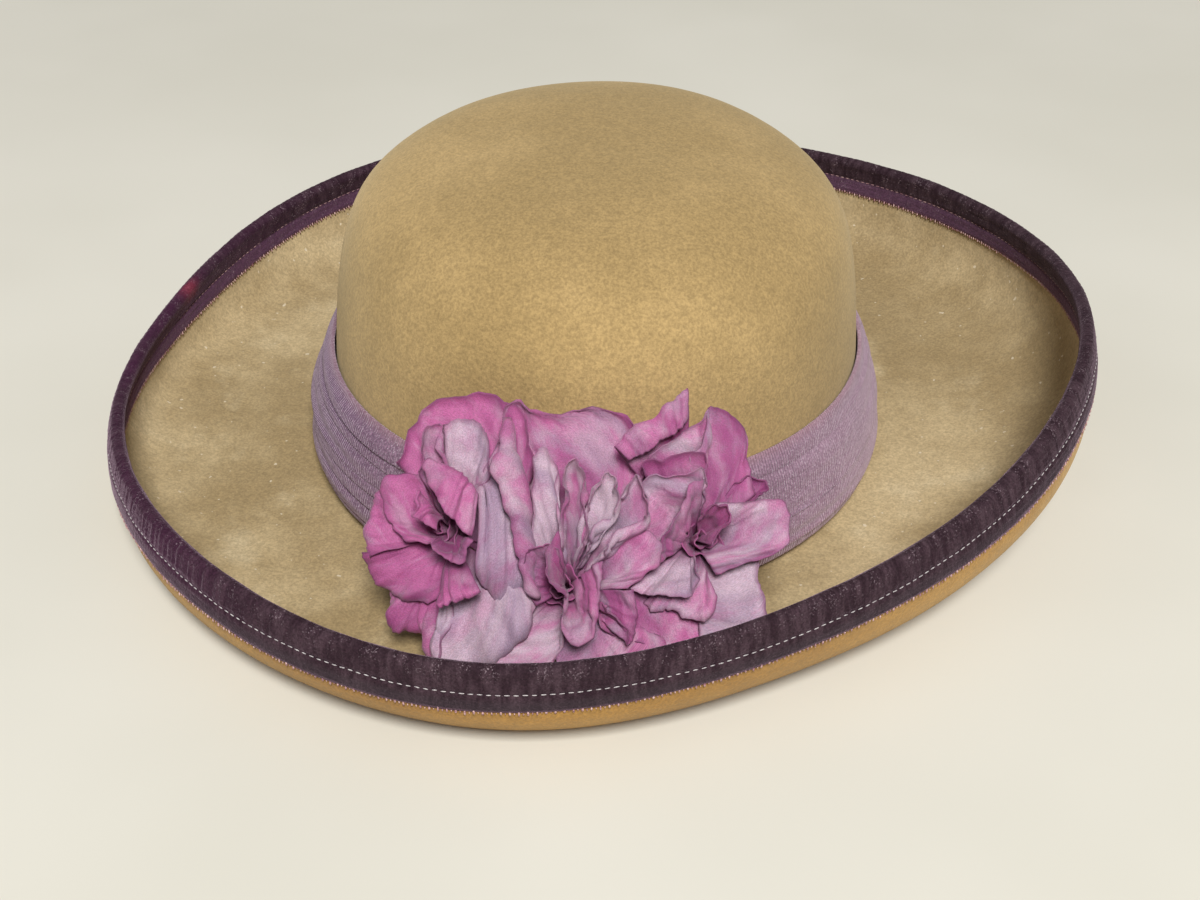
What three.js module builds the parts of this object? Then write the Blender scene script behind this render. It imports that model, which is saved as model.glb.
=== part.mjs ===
// Wide-brim felt hat with a velvet-bound brim, a pleated band and three fabric flowers.
// Millimetres, Z up, the front with its flowers toward -Y, resting on the brim's flat ring at Z = 0.
import * as THREE from 'three';

// Felt body
const feltThickness = 2;
const crownHalfWidth = 89.5;
const crownHalfLength = 95.5;
const crownHeight = 109.5;
const crownTaper = 0.07;
const domeUpright = 7.2;
const domeAcross = 2.7;
const footRadius = 4;
const restRingEnd = 11;
const restLevel = feltThickness / 2;
const brimLeave = 0.6;
const brimArrive = 0.416;
const brimLiftShare = 0.33;

// Trim
const gap = 0.3;
const ribbonThickness = 1;
const ribbonFlap = 12.5;
const bandHeight = 38;
const bandSpread = 8;
const bandTopThickness = 1.2;
const bandRoll = 7;
const bandTuck = 1.5;
const bandPleats = 4;
const bandPleatDepth = 1;

// Mesh density
const columns = 48;
const domeSteps = 8;
const bandWallSteps = 3;
const footSteps = 2;
const brimSteps = 6;
const flapSteps = 4;
const capSteps = 4;
const bandFaceSteps = 8;
const curveSamples = 120;

// Brim sections, one every 30 degrees from the wearer's left at 0 toward the back at 90: how far the edge
// reaches, how high it is lifted, and how far the felt has turned up there, 90 being straight up.
const brimSections = [
  { angle: 0, reach: 161, lift: 58, roll: 114 },
  { angle: 30, reach: 169, lift: 45, roll: 96 },
  { angle: 60, reach: 171, lift: 37, roll: 102 },
  { angle: 90, reach: 170, lift: 32, roll: 98 },
  { angle: 120, reach: 168, lift: 34, roll: 95 },
  { angle: 150, reach: 158, lift: 33, roll: 97 },
  { angle: 180, reach: 154, lift: 26, roll: 111 },
  { angle: 210, reach: 162, lift: 30, roll: 115 },
  { angle: 240, reach: 167, lift: 37, roll: 108 },
  { angle: 270, reach: 174, lift: 33, roll: 95 },
  { angle: 300, reach: 154, lift: 40, roll: 97 },
  { angle: 330, reach: 153, lift: 45, roll: 121 },
];

// Flowers: where the middle of the petals' feet sits, where the axis points, how long the bound neck is that
// reaches back to the band, and how much of its full opening a petal keeps toward each side as seen in front
const flowers = {
  left: {
    x: -21, y: -116, z: 37, around: 250, up: 40, neck: 20.4,
    openUp: 0.6, openDown: 1, openLeft: 1, openRight: 0.6,
  },
  middle: {
    x: 14, y: -122, z: 27, around: 275, up: 42, neck: 24,
    openUp: 0.6, openDown: 1, openLeft: 0.6, openRight: 0.6,
  },
  right: {
    x: 48, y: -107, z: 38, around: 298, up: 40, neck: 20.9,
    openUp: 0.6, openDown: 1, openLeft: 0.6, openRight: 1,
  },
};

// Petals: turn round the axis from the viewer's right, full opening off the axis, width and length
const petals = [
  { flower: 'left', turn: 72, lean: 86, width: 54, length: 40 },
  { flower: 'left', turn: 172, lean: 84, width: 32, length: 24 },
  { flower: 'left', turn: 207, lean: 64, width: 32, length: 24 },
  { flower: 'left', turn: 236, lean: 98, width: 26, length: 28 },
  { flower: 'left', turn: 265, lean: 52, width: 24, length: 26 },
  { flower: 'left', turn: 296, lean: 84, width: 42, length: 30 },
  { flower: 'left', turn: 325, lean: 46, width: 30, length: 30 },
  { flower: 'left', turn: 45, lean: 66, width: 26, length: 35 },
  { flower: 'left', turn: 115, lean: 46, width: 34, length: 27 },
  { flower: 'left', turn: 155, lean: 22, width: 14, length: 12 },
  { flower: 'left', turn: 250, lean: 32, width: 12, length: 16 },
  { flower: 'middle', turn: 118, lean: 60, width: 20, length: 37 },
  { flower: 'middle', turn: 88, lean: 24, width: 16, length: 35 },
  { flower: 'middle', turn: 62, lean: 44, width: 24, length: 32 },
  { flower: 'middle', turn: 34, lean: 66, width: 28, length: 24 },
  { flower: 'middle', turn: 275, lean: 35, width: 20, length: 20 },
  { flower: 'middle', turn: 245, lean: 78, width: 30, length: 21 },
  { flower: 'middle', turn: 295, lean: 66, width: 36, length: 26 },
  { flower: 'middle', turn: 96, lean: 86, width: 52, length: 44 },
  { flower: 'middle', turn: 195, lean: 46, width: 24, length: 26 },
  { flower: 'middle', turn: 348, lean: 50, width: 26, length: 27 },
  { flower: 'right', turn: 74, lean: 66, width: 30, length: 38 },
  { flower: 'right', turn: 118, lean: 86, width: 26, length: 36 },
  { flower: 'right', turn: 108, lean: 46, width: 28, length: 28 },
  { flower: 'right', turn: 152, lean: 64, width: 26, length: 23 },
  { flower: 'right', turn: 350, lean: 66, width: 28, length: 23 },
  { flower: 'right', turn: 30, lean: 86, width: 22, length: 20 },
  { flower: 'right', turn: 305, lean: 86, width: 48, length: 32 },
  { flower: 'right', turn: 262, lean: 66, width: 42, length: 30 },
  { flower: 'right', turn: 230, lean: 46, width: 24, length: 20 },
  { flower: 'right', turn: 200, lean: 24, width: 12, length: 12 },
  { flower: 'right', turn: 335, lean: 24, width: 12, length: 12 },
];
const petalThickness = 1;
const petalStart = 11;
const petalTilt = 3.5;
const petalCurl = 8;
const petalSteps = 4;
const petalRimRound = 0.15;
const petalFootFullness = 0.18;
const petalFullnessGrowth = 0.6;
const petalWrap = 1.4;

// Hearts: a closed bud, and the neck behind it that narrows to a blunt tip against the band
const heartRadius = 5;
const heartHeight = 10;
const heartWidestShare = 0.55;
const heartShoulderShare = 0.85;
const heartShoulderWidth = 0.7;
const heartSides = 8;
const neckRadius = 3;
const neckTip = 2;

const radians = THREE.MathUtils.degToRad;

// Periodic cubic B-spline through one column of the brim table
function blended(column, angle) {
  const step = 360 / brimSections.length;
  let total = 0;
  for (const section of brimSections) {
    const away = Math.abs(((angle - section.angle + 540) % 360) - 180) / step;
    let weight = 0;
    if (away < 1) {
      weight = 2 / 3 - away ** 2 + away ** 3 / 2;
    } else if (away < 2) {
      weight = (2 - away) ** 3 / 6;
    }
    total += weight * section[column];
  }
  return total;
}

// Points in a section are (x: distance from the hat's axis, y: height)
const at = (r, z) => new THREE.Vector2(r, z);

// Distances along a line of points
function distances(line) {
  const run = [0];
  for (let i = 1; i < line.length; i += 1) {
    run.push(run[i - 1] + line[i].distanceTo(line[i - 1]));
  }
  return run;
}

// The point of a line at a given distance along it
function pointAlong(line, run, distance) {
  let i = 1;
  while (i < line.length - 1 && run[i] < distance) {
    i += 1;
  }
  const share = (distance - run[i - 1]) / (run[i] - run[i - 1]);
  return line[i - 1].clone().lerp(line[i], share);
}

// A stretch of a line cut into equal steps, both ends kept
function evenly(line, steps, from = 0, to = distances(line).at(-1)) {
  const run = distances(line);
  return Array.from({ length: steps + 1 }, (_, i) => pointAlong(line, run, from + ((to - from) * i) / steps));
}

// A line moved sideways, to the left of its direction, each straight stretch by the same distance
function offset(line, distance) {
  return line.map((point, i) => {
    const next = Math.min(i + 1, line.length - 1);
    const last = Math.max(i, 1);
    const before = line[last].clone().sub(line[last - 1]).normalize();
    const after = i === next ? before : line[next].clone().sub(point).normalize();
    const along = before.clone().add(after).normalize();
    const reach = distance / along.dot(before);
    return at(point.x - along.y * reach, point.y + along.x * reach);
  });
}

// Radius of the crown's oval at the foot
function footOval(angle) {
  const across = Math.cos(radians(angle)) / crownHalfWidth;
  const along = Math.sin(radians(angle)) / crownHalfLength;
  return 1 / Math.hypot(across, along);
}

// Middle of the crown's felt, from the top of the dome down to the foot bend
function crownLine(angle) {
  const line = [];
  for (let i = 0; i <= curveSamples; i += 1) {
    const quarter = (Math.PI / 2) * (1 - i / curveSamples);
    const z = crownHeight * Math.sin(quarter) ** (2 / domeUpright);
    const r = (footOval(angle) - crownTaper * z) * Math.cos(quarter) ** (2 / domeAcross);
    line.push(at(i === 0 ? 0 : r, z));
  }
  const lowest = restLevel + footRadius;
  const above = line.filter((point) => point.y > lowest);
  above.push(at(footOval(angle), lowest));
  return above;
}

// Quarter bend from the crown's wall out to the brim
function footLine(angle) {
  const centre = at(footOval(angle) + footRadius, restLevel + footRadius);
  return Array.from({ length: footSteps + 1 }, (_, i) => {
    const turn = (Math.PI / 2) * (i / footSteps);
    return at(centre.x - footRadius * Math.cos(turn), centre.y - footRadius * Math.sin(turn));
  });
}

// Middle of the brim's felt, from the flat ring out to the edge
function brimLine(angle) {
  const start = at(footOval(angle) + restRingEnd, restLevel);
  const edge = at(blended('reach', angle), blended('lift', angle));
  const roll = radians(blended('roll', angle));
  const width = edge.x - start.x;
  const pull = brimArrive * width + brimLiftShare * edge.y;
  const leave = at(start.x + brimLeave * width, restLevel);
  const arrive = at(edge.x - pull * Math.cos(roll), edge.y - pull * Math.sin(roll));
  const line = new THREE.CubicBezierCurve(start, leave, arrive, edge).getPoints(curveSamples);
  return line.map((point) => at(point.x, Math.max(point.y, restLevel)));
}

// The last stretch of the brim, which the ribbon covers
function flapLine(angle) {
  const line = brimLine(angle);
  const length = distances(line).at(-1);
  return evenly(line, flapSteps, length - ribbonFlap, length);
}

// The crown's wall that the band covers, down to the foot bend
function bandWall(angle) {
  const line = crownLine(angle);
  const length = distances(line).at(-1);
  return evenly(line, bandWallSteps, length - bandHeight, length);
}

// Half-round end of a section: from the upper face over the edge to the lower face
function cap(line, radius, steps) {
  const edge = line.at(-1);
  const along = edge.clone().sub(line.at(-2)).normalize();
  const side = at(-along.y, along.x);
  const points = [];
  for (let i = 1; i < steps; i += 1) {
    const turn = Math.PI * (0.5 - i / steps);
    const point = edge.clone();
    point.addScaledVector(along, radius * Math.cos(turn));
    point.addScaledVector(side, radius * Math.sin(turn));
    points.push(point);
  }
  return points;
}

// Both faces of the felt in one section, from the crown's top outside to its top inside
function feltSection(angle) {
  const crown = crownLine(angle);
  const brim = brimLine(angle);
  const dome = evenly(crown, domeSteps, 0, distances(crown).at(-1) - bandHeight);
  const bare = evenly(brim, brimSteps, 0, distances(brim).at(-1) - ribbonFlap);
  const covered = flapLine(angle);
  const wall = bandWall(angle);
  const middle = [...dome, ...wall.slice(1), ...footLine(angle).slice(1), ...bare, ...covered.slice(1)];
  const outside = offset(middle, feltThickness / 2);
  const inside = offset(middle, -feltThickness / 2).reverse();
  return [...outside, ...cap(covered, feltThickness / 2, 2), ...inside];
}

// The ribbon's section round the brim's edge, outer face out and inner face back
function ribbonSection(angle) {
  const flap = flapLine(angle);
  const near = feltThickness / 2 + gap;
  const far = near + ribbonThickness;
  const over = (radius) => [
    ...offset(flap, radius),
    ...cap(flap, radius, capSteps),
    ...offset(flap, -radius).reverse(),
  ];
  return [...over(far), ...over(near).reverse()];
}

// The band's section: against the crown and the brim inside, flaring to its lower edge with soft pleats
function bandSection(angle) {
  const clear = feltThickness / 2 + gap;
  const inner = offset([...bandWall(angle), ...footLine(angle).slice(1)], clear);
  const top = inner[0];
  const lower = at(footOval(angle) + bandSpread - bandTuck, restLevel + clear);
  const fullest = at(footOval(angle) + bandSpread, lower.y + bandRoll);
  const outer = [];
  for (let i = 0; i <= bandFaceSteps; i += 1) {
    const down = i / bandFaceSteps;
    const ripple = bandPleatDepth * Math.sin(Math.PI * bandPleats * down) ** 2;
    const swell = (fullest.x - top.x - bandTopThickness) * (1 - (1 - down) ** 2);
    outer.push(at(top.x + bandTopThickness + swell + ripple, top.y + (fullest.y - top.y) * down));
  }
  return [...outer, lower, ...inner.reverse()];
}

// A closed surface from one loop of points per column; with poles, the loop's two ends lie on the axis
function revolved(sectionAt, poles) {
  const positions = [];
  const indices = [];
  const loops = Array.from({ length: columns }, (_, i) => sectionAt((360 * i) / columns));
  const first = poles ? 1 : 0;
  const last = loops[0].length - (poles ? 1 : 0);
  const rows = last - first;
  loops.forEach((loop, i) => {
    const turn = (2 * Math.PI * i) / columns;
    for (const point of loop.slice(first, last)) {
      positions.push(point.x * Math.cos(turn), point.x * Math.sin(turn), point.y);
    }
  });
  const index = (column, row) => (column % columns) * rows + (row % rows);
  const rowPairs = poles ? rows - 1 : rows;
  for (let column = 0; column < columns; column += 1) {
    for (let row = 0; row < rowPairs; row += 1) {
      const a = index(column, row);
      const b = index(column, row + 1);
      const c = index(column + 1, row + 1);
      const d = index(column + 1, row);
      indices.push(a, b, c, a, c, d);
    }
  }
  if (poles) {
    const top = positions.length / 3;
    positions.push(0, 0, loops[0][0].y, 0, 0, loops[0].at(-1).y);
    for (let column = 0; column < columns; column += 1) {
      indices.push(top, index(column, 0), index(column + 1, 0));
      indices.push(top + 1, index(column + 1, rows - 1), index(column, rows - 1));
    }
  }
  return closedGeometry(positions, indices);
}

function closedGeometry(positions, indices) {
  const geometry = new THREE.BufferGeometry();
  geometry.setAttribute('position', new THREE.Float32BufferAttribute(positions, 3));
  geometry.setIndex(indices);
  geometry.computeVertexNormals();
  return geometry;
}

// Right, up and outward directions of a flower, as the viewer in front sees them
function flowerFrame(flower) {
  const around = radians(flower.around);
  const up = radians(flower.up);
  const level = Math.cos(up);
  const axis = new THREE.Vector3(Math.cos(around) * level, Math.sin(around) * level, Math.sin(up));
  const right = new THREE.Vector3(-Math.sin(around), Math.cos(around), 0);
  const rise = axis.clone().cross(right);
  return { base: new THREE.Vector3(flower.x, flower.y, flower.z), axis, right, rise };
}

// Share of the full opening that petals keep toward one side of the flower
function openToward(flower, turn) {
  const across = Math.cos(turn);
  const along = Math.sin(turn);
  const side = across > 0 ? flower.openRight : flower.openLeft;
  const end = along > 0 ? flower.openUp : flower.openDown;
  return side * across ** 2 + end * along ** 2;
}

// A petal's surface: u runs across it from -1 to 1, v from its foot at 0 to its rim at 1
function petalPoint(flower, frame, petal, u, v) {
  const out = petalStart + petal.length * v * (1 - petalRimRound * u * u);
  const fullness = Math.sin(Math.PI * (petalFootFullness + petalFullnessGrowth * v));
  const lean = radians(petal.lean);
  const widest = out * Math.sin(lean);
  const halfTurn = (u * petal.width * fullness) / 2 / widest;
  const turn = radians(petal.turn) + petalWrap * Math.tanh(halfTurn / petalWrap);
  const curl = radians(petalCurl) * ((out - petalStart) / petal.length) ** 2;
  const opened = lean + radians(petalTilt) * u + curl;
  const away = opened * openToward(flower, turn);
  const point = frame.base.clone();
  point.addScaledVector(frame.axis, out * Math.cos(away));
  point.addScaledVector(frame.right, out * Math.sin(away) * Math.cos(turn));
  point.addScaledVector(frame.rise, out * Math.sin(away) * Math.sin(turn));
  return point;
}

// A thin closed plate from a surface given as a function of u and v
function plate(surface, steps, thickness) {
  const positions = [];
  const indices = [];
  const side = steps + 1;
  const probe = 0.01;
  for (const face of [0.5, -0.5]) {
    for (let i = 0; i <= steps; i += 1) {
      for (let j = 0; j <= steps; j += 1) {
        const u = -1 + (2 * i) / steps;
        const v = j / steps;
        const point = surface(u, v);
        const across = surface(u + probe, v).sub(surface(u - probe, v));
        const along = surface(u, v + probe).sub(surface(u, v - probe));
        point.addScaledVector(across.cross(along).normalize(), face * thickness);
        positions.push(point.x, point.y, point.z);
      }
    }
  }
  const index = (face, i, j) => face * side * side + i * side + j;
  const quad = (a, b, c, d) => indices.push(a, b, c, a, c, d);
  for (let i = 0; i < steps; i += 1) {
    for (let j = 0; j < steps; j += 1) {
      quad(index(0, i, j), index(0, i + 1, j), index(0, i + 1, j + 1), index(0, i, j + 1));
      quad(index(1, i, j), index(1, i, j + 1), index(1, i + 1, j + 1), index(1, i + 1, j));
    }
    quad(index(0, i, 0), index(1, i, 0), index(1, i + 1, 0), index(0, i + 1, 0));
    quad(index(0, i, steps), index(0, i + 1, steps), index(1, i + 1, steps), index(1, i, steps));
    quad(index(0, 0, i), index(0, 0, i + 1), index(1, 0, i + 1), index(1, 0, i));
    quad(index(0, steps, i), index(1, steps, i), index(1, steps, i + 1), index(0, steps, i + 1));
  }
  return closedGeometry(positions, indices);
}

// The closed bud in the middle of a flower, with its neck
function heartGeometry(frame, neck) {
  const profile = [
    at(0, -neck),
    at(neckRadius, neckTip - neck),
    at(neckRadius, 0),
    at(heartRadius, heartHeight * heartWidestShare),
    at(heartRadius * heartShoulderWidth, heartHeight * heartShoulderShare),
    at(0, heartHeight),
  ];
  const geometry = new THREE.LatheGeometry(profile, heartSides);
  const facing = new THREE.Matrix4().makeBasis(frame.right, frame.axis, frame.rise.clone().negate());
  geometry.applyMatrix4(facing);
  geometry.translate(frame.base.x, frame.base.y, frame.base.z);
  return geometry;
}

const felt = { color: 0xb4a06a, roughness: 0.95, metalness: 0 };
const velvet = { color: 0x3a2236, roughness: 0.9, metalness: 0 };
const chiffon = { color: 0x8d7488, roughness: 0.8, metalness: 0 };
const silk = { color: 0xc07ab0, roughness: 0.6, metalness: 0 };
const silkHeart = { color: 0x8f3f74, roughness: 0.7, metalness: 0 };

const hat = new THREE.Group();

function add(name, geometry, look) {
  const mesh = new THREE.Mesh(geometry, new THREE.MeshStandardMaterial(look));
  mesh.name = name;
  hat.add(mesh);
}

add('felt_body', revolved(feltSection, true), felt);
add('brim_binding', revolved(ribbonSection, false), velvet);
add('hat_band', revolved(bandSection, false), chiffon);
for (const [name, flower] of Object.entries(flowers)) {
  const frame = flowerFrame(flower);
  add(`${name}_heart`, heartGeometry(frame, flower.neck), silkHeart);
  petals.filter((petal) => petal.flower === name).forEach((petal, i) => {
    const surface = (u, v) => petalPoint(flower, frame, petal, u, v);
    add(`${name}_petal_${i + 1}`, plate(surface, petalSteps, petalThickness), silk);
  });
}

// The hat stands over the middle of its outline
const outline = new THREE.Box3().setFromObject(hat);
const middle = outline.getCenter(new THREE.Vector3());
hat.position.set(-middle.x, -middle.y, 0);

export default hat;
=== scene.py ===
# Looks of a wide-brim felt hat with a velvet-bound brim, a pleated chiffon band and three silk flowers.
# Shapes are worked out in millimetres from the same dimensions as the frame's, and made in metres.
import math

import bpy
import numpy as np
from mathutils import Matrix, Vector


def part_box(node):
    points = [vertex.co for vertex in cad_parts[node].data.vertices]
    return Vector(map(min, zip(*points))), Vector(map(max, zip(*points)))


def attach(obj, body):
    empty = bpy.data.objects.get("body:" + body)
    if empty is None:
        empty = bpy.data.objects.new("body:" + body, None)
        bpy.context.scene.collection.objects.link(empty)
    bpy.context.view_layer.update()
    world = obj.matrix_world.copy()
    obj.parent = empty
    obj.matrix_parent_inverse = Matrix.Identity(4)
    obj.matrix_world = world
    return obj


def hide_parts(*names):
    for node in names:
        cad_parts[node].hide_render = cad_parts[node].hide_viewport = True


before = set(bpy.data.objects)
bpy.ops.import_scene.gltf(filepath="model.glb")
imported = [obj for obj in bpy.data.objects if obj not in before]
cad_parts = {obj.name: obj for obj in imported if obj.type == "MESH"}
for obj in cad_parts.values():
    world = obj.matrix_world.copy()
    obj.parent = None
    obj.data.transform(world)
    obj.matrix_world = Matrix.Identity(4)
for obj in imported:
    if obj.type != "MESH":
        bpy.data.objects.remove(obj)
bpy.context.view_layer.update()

MM = 0.001
FULL_TURN = 2 * math.pi
QUARTER_TURN = math.pi / 2

# Seeds of the random draws: pleats, petals and buds count on from theirs
CROWN_SEED = 3
STITCH_SEED = 5
BRIM_SEED = 8
PUCKER_SEED = 21
LUMP_SEED = 22
PLEAT_SEED = 40
PLEAT_DEPTH_SEED = 60
SAG_SEED = 70
PETAL_SEED = 100
BUD_SEED = 300

# Felt body
FELT_THICKNESS = 2.0
CROWN_HALF_WIDTH = 89.5
CROWN_HALF_LENGTH = 95.5
CROWN_HEIGHT = 109.5
CROWN_TAPER = 0.07
DOME_UPRIGHT = 7.2
DOME_ACROSS = 2.7
FOOT_RADIUS = 4.0
REST_RING_END = 11.0
REST_LEVEL = FELT_THICKNESS / 2
BRIM_LEAVE = 0.6
BRIM_ARRIVE = 0.416
BRIM_LIFT_SHARE = 0.33
FELT_WAVE = 0.45

# Brim sections every 30 degrees from the wearer's left: reach, lift, and how far the felt has turned up
BRIM_ANGLE = np.arange(0, 360, 30)
BRIM_REACH = np.array([161, 169, 171, 170, 168, 158, 154, 162, 167, 174, 154, 153], float)
BRIM_LIFT = np.array([58, 45, 37, 32, 34, 33, 26, 30, 37, 33, 40, 45], float)
BRIM_ROLL = np.array([114, 96, 102, 98, 95, 97, 111, 115, 108, 95, 97, 121], float)

# Ribbon: places across it are measured over its surface from the middle of the fold
GAP = 0.3
FELT_CLEAR = FELT_THICKNESS / 2 + GAP
RIBBON_THICKNESS = 1.0
RIBBON_FLAP = 12.5
RIBBON_RADIUS = FELT_CLEAR + RIBBON_THICKNESS
RIBBON_REACH = QUARTER_TURN * RIBBON_RADIUS + RIBBON_FLAP
VELVET_THICKNESS = 0.85
SEAM = 9.8
GROOVE_WIDTH = 0.7
GROOVE_DEPTH = 0.42
PUCKER_DEPTH = 0.3
HEM_WIDTH = 1.2
HEM_DEPTH = 0.35
LUMP_HEIGHT = 0.09
STITCH_PITCH = 2.4
STITCH_LENGTH = 1.55
STITCH_RADIUS = 0.15
STITCH_FLATNESS = 1.25
STITCH_SLANT = 0.05
STITCH_UNEVEN = 0.06
PICOT_PITCH = 1.2
PICOT_OUT = 0.25
PICOT_STRAY = 0.12
PICOT_SMALLER = 0.55
PICOT_SIZES = ((0.5, 0.8), (1.2, 2.0), (0.4, 0.7))

# Places round the brim, in degrees, where the ribbon is rubbed violet, a little violet and faded red
VIOLET_AT = 200
FAINT_VIOLET_AT = 120
VIOLET_WIDTH = 60
FADED_AT = 174.5
FADED_WIDTH = 1.8

# Band
BAND_HEIGHT = 38.0
BAND_SPREAD = 8.0
BAND_TOP_THICKNESS = 1.2
BAND_ROLL = 7.0
BAND_LIP = np.array([-1.0, -0.4])
BAND_SAG = 0.28
CHIFFON_THICKNESS = 0.5
CHIFFON_RIB = 1.1
PLEATS = 6
PLEAT_WANDER = 0.36
PLEAT_GATHER = 0.25
PLEAT_DEPTH = 0.9
PLEAT_UNEVEN = 0.25
CREASE_SHARE = 0.05
GATHERED_AT = math.radians(95)
CRISPEST_AT = math.radians(190)

# Flowers: where the petals' feet meet, where the axis points, and how long the bound neck behind it is
FLOWER_COLUMNS = ("x", "y", "z", "around", "up", "neck")
FLOWERS = {
    "left": dict(zip(FLOWER_COLUMNS, (-21, -116, 37, 250, 40, 20.4))),
    "middle": dict(zip(FLOWER_COLUMNS, (14, -122, 27, 275, 42, 24.0))),
    "right": dict(zip(FLOWER_COLUMNS, (48, -107, 38, 298, 40, 20.9))),
}

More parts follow.
